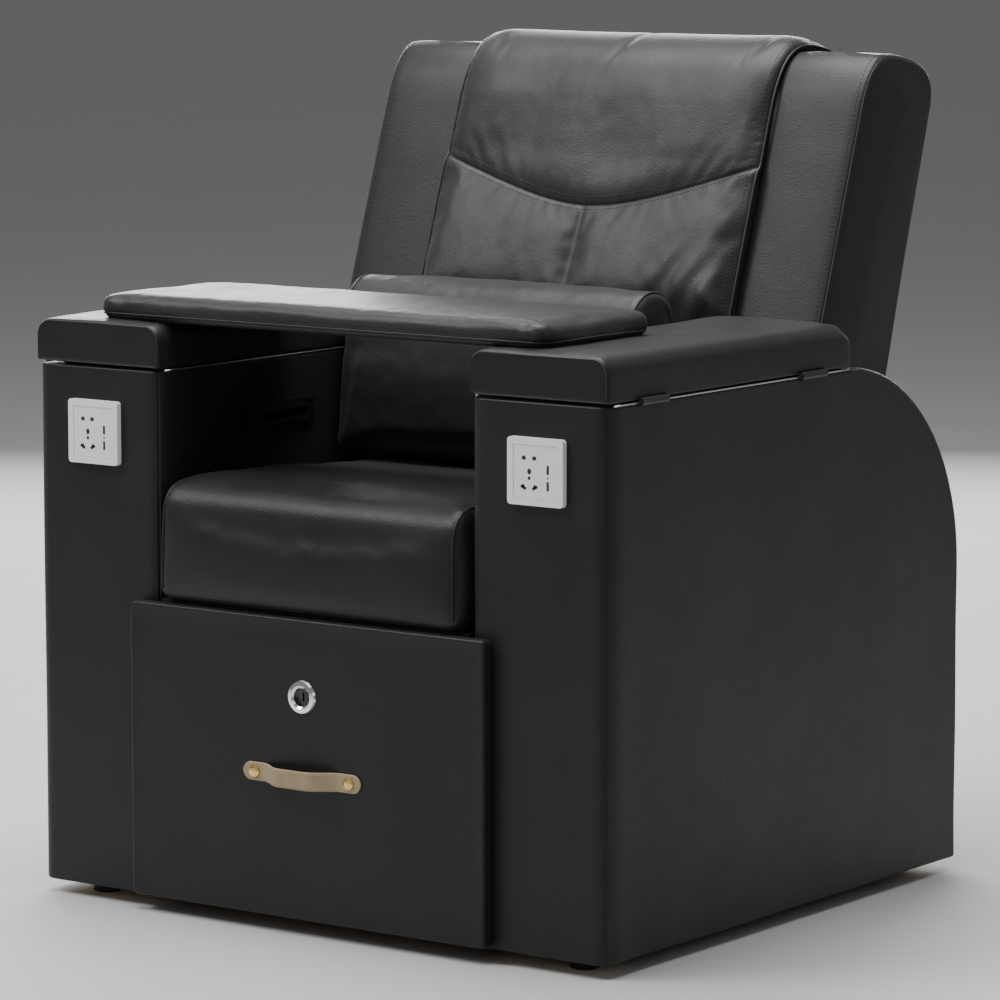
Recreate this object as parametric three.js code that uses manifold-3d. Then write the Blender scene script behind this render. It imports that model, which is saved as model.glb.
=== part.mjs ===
// Pedicure spa chair: two hollow arms with hinged lids, a reclining back on a gas spring,
// a lockable drawer on runners under the seat, and a loose padded board across the lids.
// Millimetres, +Z up, +X to the sitter's left, the front faces -Y, the floor is z = 0.
import * as THREE from 'three';
import { mergeVertices } from 'three/addons/utils/BufferGeometryUtils.js';
import Module from 'manifold-3d';

const wasm = await Module();
wasm.setup();

// ---- driving dimensions -------------------------------------------------------------

const GAP = 0.3; // between pieces that touch
const DATUM_Y = 428; // the model is drawn from the arms' front faces and moved back by this
const SIDES = { left: -1, right: 1 };

const ARM = { outer: 471, width: 215, depth: 855, bottom: 18, top: 728, wall: 18, round: 21 };
const ARM_INNER = ARM.outer - ARM.width;
const WELL = { front: 84, back: 546, floor: 430 };
const SOCKET_ROOM = { back: 66, top: 706 };
const UNDERSIDE_ROOM_TOP = 412;

const PIVOT = { y: 555, z: 431 }; // recline axis, also the centre of the arms' rear curve
const ARM_ARC = 300;
const LEAN = THREE.MathUtils.degToRad(18.8);
const RECLINE = THREE.MathUtils.degToRad(45);

const BACK = {
  halfWidth: 406,
  front: -70.6,
  rearLow: 117,
  rearHigh: 101,
  rearHighAt: 715,
  wingFoot: 285,
  wingArc: 308,
  centreHalf: 238,
  centreFoot: 28,
  coverThick: 4,
};
const LUMBAR = { halfWidth: 250, rollY: -225, rollZ: 292, rollR: 54 };
const PAD = { halfWidth: 265, front: 24, tail: 11, foot: 306, tailFoot: 560 };
const PAD_FOOT = { halfWidth: 250, thick: 44, bottom: 346, fullAt: 362, top: 560 };

const LID = { bottom: 731.6, board: 15, top: 789.5, depth: 570, inset: 0.8 };
const HINGE = { x: 472.8, z: 729.8, radius: 5.5, pin: 2.5, length: 60, leaf: 1.2, at: [97.5, 470] };
const BOARD = { x: -14, length: 741, front: 22, depth: 247, core: 9, thick: 35, inset: 6 };

const SEAT = { halfWidth: 252, front: -18, nose: 44, crown: 5, back: 470, bottom: 424.5, top: 582, deck: 16 };
const PANEL = { halfWidth: 293.5, bottom: 21, top: 421, thick: 18.5, clear: 1.5 };
const DRAWER = { halfWidth: 241.5, back: 450, bottom: 48, top: 385, wall: 12, travel: 415 };
const RUNNER = { z: 215, height: 44, step: 4, outer: 3.7, middle: 5, inner: 4 };
const LOCK = { z: 319, flange: 22.5, body: 14.6, plug: 12.2, camReach: 34, camWide: 15 };
const STRAP = { z: 213, height: 26, half: 98, stud: 78, bow: 22, thick: 2.5 };

const SOCKET = { x: 365, z: 641, plate: 86, thick: 8.5, body: 74, depth: 38, cutOut: 77 };
const HANDLE = { y0: 166, y1: 331, z0: 629, z1: 668, flange: 2.4, cup: 15.5, wall: 1.8 };
const FOOT = { x: 400, front: 54, back: 801, radius: 20, batten: 20 };

const GAS = { y: PIVOT.y + 77, radius: 14, base: 66, bodyFrom: 80, bodyTo: 320, rod: 5, crank: 80 };
const INLET = { x: -150, z: 90, halfWide: 30, halfHigh: 18 };
const REAR_PANEL = { front: 837, back: 853, top: 400 };
const CABLE_HOLE = { y: 800, z: 90, radius: 10 };

// ---- materials ----------------------------------------------------------------------

const finish = (color, roughness, metalness = 0) =>
  new THREE.MeshStandardMaterial({ color, roughness, metalness });
const leather = () => finish(0x2b2b2d, 0.5);
const plywood = () => finish(0xb08d5e, 0.7);
const blackPlastic = () => finish(0x141415, 0.35);
const blackSteel = () => finish(0x1b1b1c, 0.45, 0.8);
const zincSteel = () => finish(0xb4b7ba, 0.35, 1);
const chrome = () => finish(0xdfe1e3, 0.1, 1);
const brass = () => finish(0xc79a4b, 0.25, 1);
const tanLeather = () => finish(0xa98d6c, 0.6);
const whitePlastic = () => finish(0xeeeae2, 0.3);
const rubber = () => finish(0x101010, 0.85);

// ---- small geometry helpers ---------------------------------------------------------

// A three.js geometry as a manifold-3d solid.
function solid(geometry) {
  const bare = geometry.index ? geometry.toNonIndexed() : geometry.clone();
  bare.deleteAttribute('normal');
  bare.deleteAttribute('uv');
  const merged = mergeVertices(bare, 1e-4);
  return new wasm.Manifold(new wasm.Mesh({
    numProp: 3,
    vertProperties: new Float32Array(merged.attributes.position.array),
    triVerts: new Uint32Array(merged.index.array),
  }));
}

// A manifold-3d solid as a three.js geometry.
function geometryOf(body) {
  const { vertProperties, triVerts } = body.getMesh();
  const geometry = new THREE.BufferGeometry();
  geometry.setAttribute('position', new THREE.BufferAttribute(vertProperties, 3));
  geometry.setIndex(new THREE.BufferAttribute(triVerts, 1));
  geometry.computeVertexNormals();
  return geometry;
}

const join = (...bodies) => bodies.reduce((a, b) => a.add(b));
const cut = (body, ...tools) => tools.reduce((a, b) => a.subtract(b), body);

function piece(name, body, material) {
  const geometry = body.isBufferGeometry ? body : geometryOf(body);
  const mesh = new THREE.Mesh(geometry, material);
  mesh.name = name;
  return mesh;
}

function block(x0, x1, y0, y1, z0, z1) {
  const box = new THREE.BoxGeometry(Math.abs(x1 - x0), Math.abs(y1 - y0), Math.abs(z1 - z0));
  return solid(box.translate((x0 + x1) / 2, (y0 + y1) / 2, (z0 + z1) / 2));
}

// An outline drawn in (y, z), filled from x0 to x1.
function alongX(shape, x0, x1, curveSegments = 10) {
  const depth = x1 - x0;
  const geometry = new THREE.ExtrudeGeometry(shape, { depth, bevelEnabled: false, curveSegments });
  const axes = new THREE.Matrix4().makeBasis(
    new THREE.Vector3(0, 1, 0), new THREE.Vector3(0, 0, 1), new THREE.Vector3(1, 0, 0));
  return solid(geometry.applyMatrix4(axes).translate(x0, 0, 0));
}

// An outline drawn in (x, z), filled from y0 to y1.
function alongY(shape, y0, y1, curveSegments = 8) {
  const depth = y1 - y0;
  const geometry = new THREE.ExtrudeGeometry(shape, { depth, bevelEnabled: false, curveSegments });
  return solid(geometry.rotateX(Math.PI / 2).translate(0, y1, 0));
}

// An outline drawn in (x, y), filled from z0 to z1.
function alongZ(shape, z0, z1, curveSegments = 6) {
  const depth = z1 - z0;
  const geometry = new THREE.ExtrudeGeometry(shape, { depth, bevelEnabled: false, curveSegments });
  return solid(geometry.translate(0, 0, z0));
}

function roundedRectangle(a0, a1, b0, b1, radius) {
  const shape = new THREE.Shape();
  shape.absarc(a1 - radius, b0 + radius, radius, -Math.PI / 2, 0, false);
  shape.absarc(a1 - radius, b1 - radius, radius, 0, Math.PI / 2, false);
  shape.absarc(a0 + radius, b1 - radius, radius, Math.PI / 2, Math.PI, false);
  shape.absarc(a0 + radius, b0 + radius, radius, Math.PI, 1.5 * Math.PI, false);
  shape.closePath();
  return shape;
}

const outline = (points) => new THREE.Shape(points.map(([a, b]) => new THREE.Vector2(a, b)));

// A round bar from x0 to x1 about the line (y, z).
function barX(radius, x0, x1, y = 0, z = 0, sides = 18) {
  const bar = new THREE.CylinderGeometry(radius, radius, x1 - x0, sides);
  return solid(bar.rotateZ(Math.PI / 2).translate((x0 + x1) / 2, y, z));
}

function barY(radius, y0, y1, x = 0, z = 0, sides = 24) {
  const bar = new THREE.CylinderGeometry(radius, radius, y1 - y0, sides);
  return solid(bar.translate(x, (y0 + y1) / 2, z));
}

function barZ(radius, z0, z1, x = 0, y = 0, sides = 24) {
  const bar = new THREE.CylinderGeometry(radius, radius, z1 - z0, sides);
  return solid(bar.rotateX(Math.PI / 2).translate(x, y, (z0 + z1) / 2));
}

// Turns a solid of revolution whose profile is [radius, height] so that its axis is -Y.
function turnedY(profile, x, y, z, sides = 28) {
  const points = profile.map(([r, h]) => new THREE.Vector2(r, h));
  const lathe = new THREE.LatheGeometry(points, sides);
  return solid(lathe.rotateX(Math.PI).translate(x, y, z));
}

// A padded slab: rounded outline in plan and rounded long edges above and below.
function pad(x0, x1, y0, y1, z0, z1, edge, corner) {
  const shape = roundedRectangle(x0 + edge, x1 - edge, y0 + edge, y1 - edge, corner);
  const geometry = new THREE.ExtrudeGeometry(shape, {
    depth: z1 - z0 - 2 * edge,
    bevelThickness: edge,
    bevelSize: edge,
    bevelSegments: 2,
    curveSegments: 3,
  });
  return solid(geometry.translate(0, 0, z0 + edge));
}

// A cable: an eight-sided tube along a smooth curve through the points.
function cable(points, radius, steps) {
  const path = new THREE.CatmullRomCurve3(points.map((p) => new THREE.Vector3(...p)));
  const section = new THREE.Shape();
  section.absarc(0, 0, radius, 0, 2 * Math.PI, false);
  const geometry = new THREE.ExtrudeGeometry(section, { steps, curveSegments: 4, extrudePath: path });
  return solid(geometry);
}

// ---- base: arms ---------------------------------------------------------------------

// The arm seen from the side: square in front, a quarter round about the recline axis behind.
function armOutline(inset, frontY, bottomZ, topZ) {
  const radius = ARM_ARC - inset;
  const shape = new THREE.Shape();
  shape.moveTo(frontY, bottomZ);
  shape.lineTo(PIVOT.y + radius, bottomZ);
  const last = Math.asin(Math.min(1, (topZ - PIVOT.z) / radius));
  shape.absarc(PIVOT.y, PIVOT.z, radius, 0, last, false);
  shape.lineTo(frontY, topZ);
  shape.closePath();
  return shape;
}

// A right-hand arm; the left one is its mirror image with the release pocket added.
function armBody() {
  const inner = ARM_INNER + ARM.wall;
  const outer = ARM.outer - ARM.wall;
  const side = alongX(armOutline(0, 0, ARM.bottom, ARM.top), ARM_INNER, ARM.outer, 14);
  const plan = roundedRectangle(ARM_INNER, ARM.outer, 0, ARM.depth, ARM.round);
  const shell = side.intersect(alongZ(plan, 0, ARM.top + 10));
  const rearRoom = armOutline(ARM.wall, WELL.back + ARM.wall, UNDERSIDE_ROOM_TOP - 5, ARM.top - ARM.wall);
  const half = SOCKET.cutOut / 2;
  const notches = HINGE.at.map((y) =>
    block(HINGE.x - HINGE.radius - 0.5, ARM.outer + 2, y - HINGE.length / 2 - 1, y + HINGE.length / 2 + 1,
      HINGE.z - HINGE.radius - 0.5, ARM.top + 2));
  const battens = [FOOT.front, FOOT.back].map((y) =>
    block(inner - 1, outer + 1, y - 36.5, y + 36.5, ARM.bottom, ARM.bottom + FOOT.batten));
  const hollow = cut(shell,
    block(inner, outer, WELL.front, WELL.back, WELL.floor, ARM.top + 20),
    block(inner, outer, ARM.wall, SOCKET_ROOM.back, UNDERSIDE_ROOM_TOP - 5, SOCKET_ROOM.top),
    block(inner, outer, ARM.wall, ARM.depth - ARM.wall, ARM.bottom - 10, UNDERSIDE_ROOM_TOP),
    alongX(rearRoom, inner, outer, 14),
    block(SOCKET.x - half, SOCKET.x + half, -5, ARM.wall + 5, SOCKET.z - half, SOCKET.z + half),
    barX(CABLE_HOLE.radius, ARM_INNER - 5, inner + 5, CABLE_HOLE.y, CABLE_HOLE.z, 12),
    ...notches);
  return join(hollow, ...battens);
}

const RELEASE = { x: -266, y: 186, exitY: GAS.y, exitZ: 120 };

function leftArmBody() {
  const inner = -ARM_INNER - ARM.wall;
  const half = 5;
  return cut(armBody().mirror([1, 0, 0]),
    block(inner - 1, -ARM_INNER + 1, HANDLE.y0 + 5, HANDLE.y1 - 5, HANDLE.z0 + 4, HANDLE.z1 - 4),
    block(RELEASE.x - half, RELEASE.x + half, RELEASE.y - half, RELEASE.y + half,
      UNDERSIDE_ROOM_TOP - 10, HANDLE.z0 + 10),
    block(inner - 6, RELEASE.x + half, RELEASE.y - half, RELEASE.y + half + 6,
      UNDERSIDE_ROOM_TOP - 70, UNDERSIDE_ROOM_TOP + 5),
    barX(6, inner - 5, -ARM_INNER + 5, RELEASE.exitY, RELEASE.exitZ, 12));
}

function arms() {
  return [
    piece('left_arm_carcass', leftArmBody(), leather()),
    piece('right_arm_carcass', armBody(), leather()),
  ];
}

function feet() {
  const made = [];
  for (const [side, sign] of Object.entries(SIDES)) {
    for (const end of ['front', 'back']) {
      const profile = [[0, 0], [FOOT.radius - 2, 0], [FOOT.radius, 2], [FOOT.radius - 4, ARM.bottom - GAP],
        [0, ARM.bottom - GAP]];
      const lathe = new THREE.LatheGeometry(profile.map(([r, h]) => new THREE.Vector2(r, h)), 20);
      const foot = piece(`${side}_${end}_foot`, lathe.rotateX(Math.PI / 2), rubber());
      foot.position.set(sign * FOOT.x, FOOT[end], 0);
      made.push(foot);
    }
  }
  return made;
}

// ---- base: structure between the arms -------------------------------------------------

const SPAN = ARM_INNER - 0.5; // half width of what is fastened between the arms

function structure() {
  const deckTop = SEAT.bottom - 0.5;
  const deckBottom = deckTop - SEAT.deck;
  const deck = block(-SPAN, SPAN, 2, SEAT.back, deckBottom, deckTop);
  const rail = block(-SPAN, SPAN, 19, 37, 388, deckBottom - GAP);
  const panel = cut(block(-SPAN, SPAN, REAR_PANEL.front, REAR_PANEL.back, ARM.bottom, REAR_PANEL.top),
    block(INLET.x - INLET.halfWide + 4, INLET.x + INLET.halfWide - 4, REAR_PANEL.front - 5,
      REAR_PANEL.back + 5, INLET.z - INLET.halfHigh + 3, INLET.z + INLET.halfHigh - 3));
  return [
    piece('seat_deck', deck, plywood()),
    piece('front_rail', rail, plywood()),
    piece('rear_panel', panel, leather()),
    piece('lock_strike', block(-18, 18, 15.5, 19 - GAP, 336, 404), zincSteel()),
  ];
}

// Cross member with the two lugs and the pin that carry the gas spring.
function crossMember() {
  const rail = block(-SPAN, SPAN, GAS.y - 32, GAS.y + 32, 30, 48);
  const lugs = [-8, 8].map((x) => block(x - 2, x + 2, GAS.y - 14, GAS.y + 14, 47, GAS.base + 12));
  return piece('rear_cross_member', join(rail, ...lugs, barX(4, -9, 9, GAS.y, GAS.base, 16)), blackSteel());
}

function pivotBrackets() {
  const plate = roundedRectangle(PIVOT.y - 42, PIVOT.y + 42, PIVOT.z - 60, PIVOT.z + 60, 14);
  const body = join(alongX(plate, 249.5, ARM_INNER - GAP, 4),
    barX(8, 226, 251, PIVOT.y, PIVOT.z));
  return [
    piece('left_pivot_bracket', body.mirror([1, 0, 0]), blackSteel()),
    piece('right_pivot_bracket', body, blackSteel()),
  ];
}

// The cushion's side view: upright front, rounded nose, level top that falls a little to the back.
function seatCushion() {
  const { front, back, bottom, top, halfWidth, nose, crown } = SEAT;
  const shape = new THREE.Shape();
  shape.moveTo(front + 14, bottom);
  shape.lineTo(back, bottom);
  shape.lineTo(back, top - 16);
  shape.lineTo(front + 190, top + crown);
  shape.lineTo(front + nose, top + crown);
  shape.quadraticCurveTo(front + nose * 0.2, top, front, top + crown - nose);
  shape.lineTo(front, bottom + 24);
  shape.quadraticCurveTo(front + 1, bottom + 6, front + 14, bottom);
  return piece('seat_cushion', alongX(shape, -halfWidth, halfWidth, 6), leather());
}

// ---- base: sockets, inlet and cables ----------------------------------------------------

function socketFace(x, z) {
  const round = (dx, dz, r) => barY(r, -20, -3, x + dx, z + dz, 12);
  const slot = (dx, dz, w, h, turn) => {
    const bar = new THREE.BoxGeometry(w, 12, h).rotateY(turn).translate(x + dx, -9, z + dz);
    return solid(bar);
  };
  const port = (dz) => slot(19.4, dz, 3.6, 11.5, 0);
  return [
    round(-17.6, 17.2, 2.7), round(-1.5, 17.2, 2.7),
    round(-9.2, 0.3, 3.1), round(-9.2, -8.3, 2.2),
    slot(-18.3, -20.4, 7, 4, 0.5), slot(-0.6, -20.2, 7, 4, -0.5),
    round(19.4, -6.8, 1.3),
    port(3.9), port(-17),
  ];
}

function sockets() {
  const made = [];
  for (const [side, sign] of Object.entries(SIDES)) {
    const x = sign * SOCKET.x;
    const half = SOCKET.plate / 2;
    const frame = alongY(roundedRectangle(x - half, x + half, SOCKET.z - half, SOCKET.z + half, 5),
      -SOCKET.thick, -GAP, 4);
    const face = 34;
    const opening = block(x - face, x + face, -20, 5, SOCKET.z - face, SOCKET.z + face);
    const insert = cut(join(
      block(x - face + GAP, x + face - GAP, -SOCKET.thick + 0.8, 2,
        SOCKET.z - face + GAP, SOCKET.z + face - GAP),
      block(x - SOCKET.body / 2, x + SOCKET.body / 2, GAP, SOCKET.depth, SOCKET.z - SOCKET.body / 2,
        SOCKET.z + SOCKET.body / 2)), ...socketFace(x, SOCKET.z));
    made.push(piece(`${side}_socket_plate`, cut(frame, opening), whitePlastic()));
    made.push(piece(`${side}_socket_module`, insert, whitePlastic()));
  }
  return made;
}

function mainsInlet() {
  const { x, z, halfWide, halfHigh } = INLET;
  const flange = alongY(roundedRectangle(x - halfWide, x + halfWide, z - halfHigh, z + halfHigh, 4),
    REAR_PANEL.back + GAP, REAR_PANEL.back + 3, 3);
  const body = block(x - halfWide + 5, x + halfWide - 5, 822, REAR_PANEL.back + 1,
    z - halfHigh + 4, z + halfHigh - 4);
  const recess = block(x - 12, x + 12, REAR_PANEL.back - 14, REAR_PANEL.back + 8, z - 9, z + 9);
  const pins = [-7, 0, 7].map((dx) => block(x + dx - 1, x + dx + 1, REAR_PANEL.back - 15,
    REAR_PANEL.back - 1, z - 2, z + 2));
  return piece('mains_inlet', join(cut(join(flange, body), recess), ...pins), blackPlastic());
}

function socketCable(sign, end) {
  const floorZ = 45;
  return [
    [sign * SOCKET.x, 30, SOCKET.z - SOCKET.body / 2 - GAP],
    [sign * SOCKET.x, 30, 520],
    [sign * SOCKET.x, 31, 360],
    [sign * 352, 36, 200],
    [sign * 335, 70, 95],
    [sign * 318, 190, 52],
    [sign * 308, 400, floorZ],
    [sign * 304, 620, floorZ + 4],
    [sign * 300, 750, 66],
    [sign * 286, CABLE_HOLE.y - 6, 85],
    [sign * 265, CABLE_HOLE.y, CABLE_HOLE.z],
    ...end,
  ];
}

function cables() {
  const { x, z, halfWide } = INLET;
  const leftEnd = [[-235, 804, 90], [x - halfWide + 5 - GAP - 18, 829, z], [x - halfWide + 5 - GAP, 830, z]];
  const rightEnd = [[235, 806, 92], [120, 812, 96], [-20, 818, 94], [x + halfWide - 5 + GAP + 20, 829, z],
    [x + halfWide - 5 + GAP, 830, z]];
  const release = [
    [RELEASE.x, RELEASE.y, HANDLE.z0 + 4], [RELEASE.x, RELEASE.y, 560], [RELEASE.x, RELEASE.y, 470],
    [RELEASE.x, RELEASE.y, 425], [-272, RELEASE.y, 396], [-288, 192, 375], [-296, 240, 350], [-298, 340, 300],
    [-296, 470, 215], [-292, 570, 145], [-282, 624, 122], [-265, RELEASE.exitY, RELEASE.exitZ],
    [-200, RELEASE.exitY, 116], [-100, RELEASE.exitY, 104], [-GAS.radius - GAP - 12, RELEASE.exitY, 100],
    [-GAS.radius - GAP, RELEASE.exitY, 100],
  ];
  return [
    piece('left_socket_cable', cable(socketCable(-1, leftEnd), 3.5, 40), rubber()),
    piece('right_socket_cable', cable(socketCable(1, rightEnd), 3.5, 46), rubber()),
    piece('release_cable', cable(release, 2.2, 44), rubber()),
  ];
}

// ---- base: recline release --------------------------------------------------------------

// Bezel with a cup let into the left arm's inner wall, open towards the seat.
function reclineBezel() {
  const face = -ARM_INNER + GAP;
  const { y0, y1, z0, z1, flange, cup, wall } = HANDLE;
  const rim = alongX(roundedRectangle(y0, y1, z0, z1, 8), face, face + flange, 4);
  const inset = 5 + GAP;
  const body = block(face - cup, face + 1, y0 + inset, y1 - inset, z0 + inset - 1, z1 - inset + 1);
  const hollow = block(face - cup + wall, face + flange + 5, y0 + inset + wall, y1 - inset - wall,
    z0 + inset - 1 + wall, z1 - inset + 1 - wall);
  return piece('recline_bezel', cut(join(rim, body), hollow), blackPlastic());
}

const PADDLE = { axisX: -257, axisY: 193, y1: 327, z0: 636, z1: 661, x0: -259, x1: -251 };

// Ring-shaped paddle that swings out of the bezel about a vertical pin at its front end.
function reclinePaddle() {
  const { axisX, axisY, y1, z0, z1, x0, x1 } = PADDLE;
  const ring = alongX(roundedRectangle(axisY - 6, y1 - 7, z0, z1, 7), x0, x1, 4);
  const window = alongX(roundedRectangle(axisY + 12, y1 - 14, z0 + 6.5, z1 - 6.5, 4), x0 - 5, x1 + 5, 4);
  return piece('recline_paddle', join(cut(ring, window), barZ(3, z0 - 0.5, z1 + 0.5, axisX, axisY, 16)),
    blackPlastic());
}

// ---- base: lid hinges ---------------------------------------------------------------------

// One half of a butt hinge about (HINGE.x, HINGE.z): the fixed half owns the odd fifths.
function hingeLeaf(y, fixed, sign) {
  const fifth = HINGE.length / 5;
  const start = y - HINGE.length / 2;
  const z0 = fixed ? HINGE.z - 0.3 - HINGE.leaf : HINGE.z + 0.3;
  const plate = block(HINGE.x - 26, HINGE.x, start, start + HINGE.length, z0, z0 + HINGE.leaf);
  const owned = [];
  const cleared = [];
  for (let i = 0; i < 5; i += 1) {
    const mine = (i % 2 === 0) === fixed;
    const from = start + i * fifth;
    if (mine) {
      owned.push(barY(HINGE.radius, from + 0.2, from + fifth - 0.2, HINGE.x, HINGE.z, 14));
    } else {
      cleared.push(block(HINGE.x - HINGE.radius - 1, HINGE.x + 5, from - 0.2, from + fifth + 0.2,
        z0 - 5, z0 + 5));
    }
  }
  const barrel = join(cut(plate, ...cleared), ...owned);
  const pin = (radius, spare) =>
    barY(radius, start - spare, start + HINGE.length + spare, HINGE.x, HINGE.z, 10);
  const leaf = fixed ? barrel.add(pin(HINGE.pin, 0.5)) : barrel.subtract(pin(HINGE.pin + 0.4, 2));
  return sign < 0 ? leaf.mirror([1, 0, 0]) : leaf;
}

function lidHinges(fixed) {
  const made = [];
  for (const [side, sign] of Object.entries(SIDES)) {
    HINGE.at.forEach((y, i) => {
      const end = ['front', 'rear'][i];
      const half = fixed ? 'fixed_leaf' : 'moving_leaf';
      made.push(piece(`${side}_${end}_hinge_${half}`, hingeLeaf(y, fixed, sign), blackSteel()));
    });
  }
  return made;
}

// ---- lids and the board across them -----------------------------------------------------

function lids() {
  const made = [];
  for (const [side, sign] of Object.entries(SIDES)) {
    const x0 = ARM_INNER + LID.inset;
    const x1 = ARM.outer - LID.inset;
    const boardTop = LID.bottom + LID.board;
    const notches = HINGE.at.map((y) =>
      block(HINGE.x - HINGE.radius - 0.5, ARM.outer + 2, y - HINGE.length / 2 - 1, y + HINGE.length / 2 + 1,
        LID.bottom - 2, HINGE.z + HINGE.radius + 0.6));
    const board = cut(block(x0, x1, 1, LID.depth - 1, LID.bottom, boardTop), ...notches);
    const top = pad(x0 - 0.6, x1 + 0.6, 0, LID.depth, boardTop + GAP, LID.top, 9, 12);
    const flip = (body) => (sign < 0 ? body.mirror([1, 0, 0]) : body);
    made.push(piece(`${side}_lid_board`, flip(board), plywood()));
    made.push(piece(`${side}_lid_pad`, flip(top), leather()));
  }
  return made;
}

function manicureBoard() {
  const { x, length, front, depth, core, thick, inset } = BOARD;
  const z0 = LID.top + 0.5;
  const x0 = x - length / 2;
  const x1 = x + length / 2;
  const plan = roundedRectangle(x0 + inset, x1 - inset, front + inset, front + depth - inset, 28);
  return [
    piece('board_core', alongZ(plan, z0, z0 + core), plywood()),
    piece('board_pad', pad(x0, x1, front, front + depth, z0 + core + GAP, z0 + thick, 11, 24), leather()),
  ];
}

// ---- drawer ---------------------------------------------------------------------------

function drawerFront() {
  const { halfWidth, bottom, top, thick, clear } = PANEL;
  const slab = alongY(roundedRectangle(-halfWidth, halfWidth, bottom, top, 6), -clear - thick, -clear, 3);
  const studHoles = [-1, 1].map((s) =>
    barY(2.6, -clear - thick - 2, -clear + 2, s * STRAP.stud, STRAP.z, 12));
  return piece('drawer_front', cut(slab, barY(LOCK.body + 0.4, -30, 5, 0, LOCK.z), ...studHoles), leather());
}

function drawerBox() {
  const { halfWidth, back, bottom, top, wall } = DRAWER;
  const front = -PANEL.clear + GAP;
  const outer = block(-halfWidth, halfWidth, front, back, bottom, top);
  const inner = block(-halfWidth + wall, halfWidth - wall, front + wall + 1, back - wall,
    bottom + wall, top + 5);
  const lockHole = barY(LOCK.body + 0.4, front - 5, front + wall + 5, 0, LOCK.z);
  return piece('drawer_box', cut(outer, inner, lockHole), plywood());
}

// Nested members: outer on the arm, middle between, inner on the drawer box.
function runnerMember(name, sign, x0, x1, shrink, length) {
  const half = RUNNER.height / 2 - shrink;
  const body = block(x0, x1, 6, 6 + length, RUNNER.z - half, RUNNER.z + half);
  return piece(name, sign < 0 ? body.mirror([1, 0, 0]) : body, zincSteel());
}

function runners(which) {
  const outerFrom = ARM_INNER - GAP - RUNNER.outer;
  const middleFrom = outerFrom - GAP - RUNNER.middle;
  const innerFrom = middleFrom - GAP - RUNNER.inner;
  const span = {
    outer: [outerFrom, outerFrom + RUNNER.outer, 0],
    middle: [middleFrom, middleFrom + RUNNER.middle, RUNNER.step],
    inner: [innerFrom, innerFrom + RUNNER.inner, 2 * RUNNER.step],
  }[which];
  return Object.entries(SIDES).map(([side, sign]) =>
    runnerMember(`${side}_${which}_runner`, sign, ...span, 440));
}

const LOCK_FACE = -PANEL.clear - PANEL.thick; // y of the drawer front's outer face

function lockHousing() {
  const rearY = 14;
  const profile = [
    [LOCK.plug + 0.4, -rearY], [LOCK.body, -rearY], [LOCK.body, -LOCK_FACE + GAP],
    [LOCK.flange, -LOCK_FACE + GAP], [LOCK.flange - 1.5, -LOCK_FACE + 3.2],
    [LOCK.body + 1, -LOCK_FACE + 4.2], [LOCK.plug + 0.4, -LOCK_FACE + 2.2], [LOCK.plug + 0.4, -rearY],
  ];
  return piece('lock_housing', turnedY(profile, 0, 0, LOCK.z, 32), chrome());
}

// Plug with its key slot, and the cam on its tail lying sideways when unlocked.
function lockPlug() {
  const plug = barY(LOCK.plug, LOCK_FACE + 3, 15, 0, LOCK.z);
  const slot = block(-1.5, 1.5, LOCK_FACE - 3, LOCK_FACE + 14, LOCK.z - 6, LOCK.z + 6);
  const tail = barY(5, 14, 22.5, 0, LOCK.z, 16);
  const half = LOCK.camWide / 2;
  const cam = alongY(roundedRectangle(-half, LOCK.camReach, LOCK.z - half, LOCK.z + half, 7), 19.3, 22, 4);
  return piece('lock_plug', join(cut(plug, slot), tail, cam), chrome());
}

// The strap's plan view: flat ends under the studs, bowed out between them.
function strapHandle() {
  const { half, stud, bow, thick, z, height } = STRAP;
  const y = LOCK_FACE - GAP;
  const shape = new THREE.Shape();
  const flat = stud - 12;
  shape.moveTo(-half, y);
  shape.lineTo(-flat, y);
  shape.bezierCurveTo(-flat + 14, y - bow, -flat + 30, y - bow, 0, y - bow);
  shape.bezierCurveTo(flat - 30, y - bow, flat - 14, y - bow, flat, y);
  shape.lineTo(half, y);
  shape.lineTo(half, y - thick);
  shape.lineTo(flat - 1, y - thick);
  shape.bezierCurveTo(flat - 15, y - bow - thick, flat - 31, y - bow - thick, 0, y - bow - thick);
  shape.bezierCurveTo(-flat + 31, y - bow - thick, -flat + 15, y - bow - thick, -flat + 1, y - thick);
  shape.lineTo(-half, y - thick);
  shape.closePath();
  const holes = [-1, 1].map((s) => barY(2.6, y - 10, y + 5, s * stud, z, 12));
  return piece('strap_handle', cut(alongZ(shape, z - height / 2, z + height / 2, 8), ...holes), tanLeather());
}

function studs() {
  const seat = -LOCK_FACE + GAP + STRAP.thick + GAP;
  const shank = -LOCK_FACE - 14;
  const profile = [[0, shank], [2.2, shank], [2.2, seat], [8.5, seat], [8, seat + 1.6], [4.5, seat + 3],
    [0, seat + 3.4]];
  return Object.entries(SIDES).map(([side, sign]) =>
    piece(`${side}_strap_stud`, turnedY(profile, sign * STRAP.stud, 0, STRAP.z, 20), brass()));
}

// ---- backrest: drawn upright about the recline axis, y back and z up ---------------------

const rearSlope = (BACK.rearHigh - BACK.rearLow) / (BACK.rearHighAt - BACK.wingFoot);
const rearAt = (z) => BACK.rearLow + rearSlope * (z - BACK.wingFoot);

// From the front's top edge over the head of the backrest to the back's top edge.
function headOutline(shape) {
  shape.lineTo(BACK.front, 690);
  shape.bezierCurveTo(BACK.front, 722, -48, 738, -10, 744);
  shape.quadraticCurveTo(35, 752, 72, 750);
  shape.quadraticCurveTo(BACK.rearHigh, 748, BACK.rearHigh, BACK.rearHighAt);
}

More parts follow.
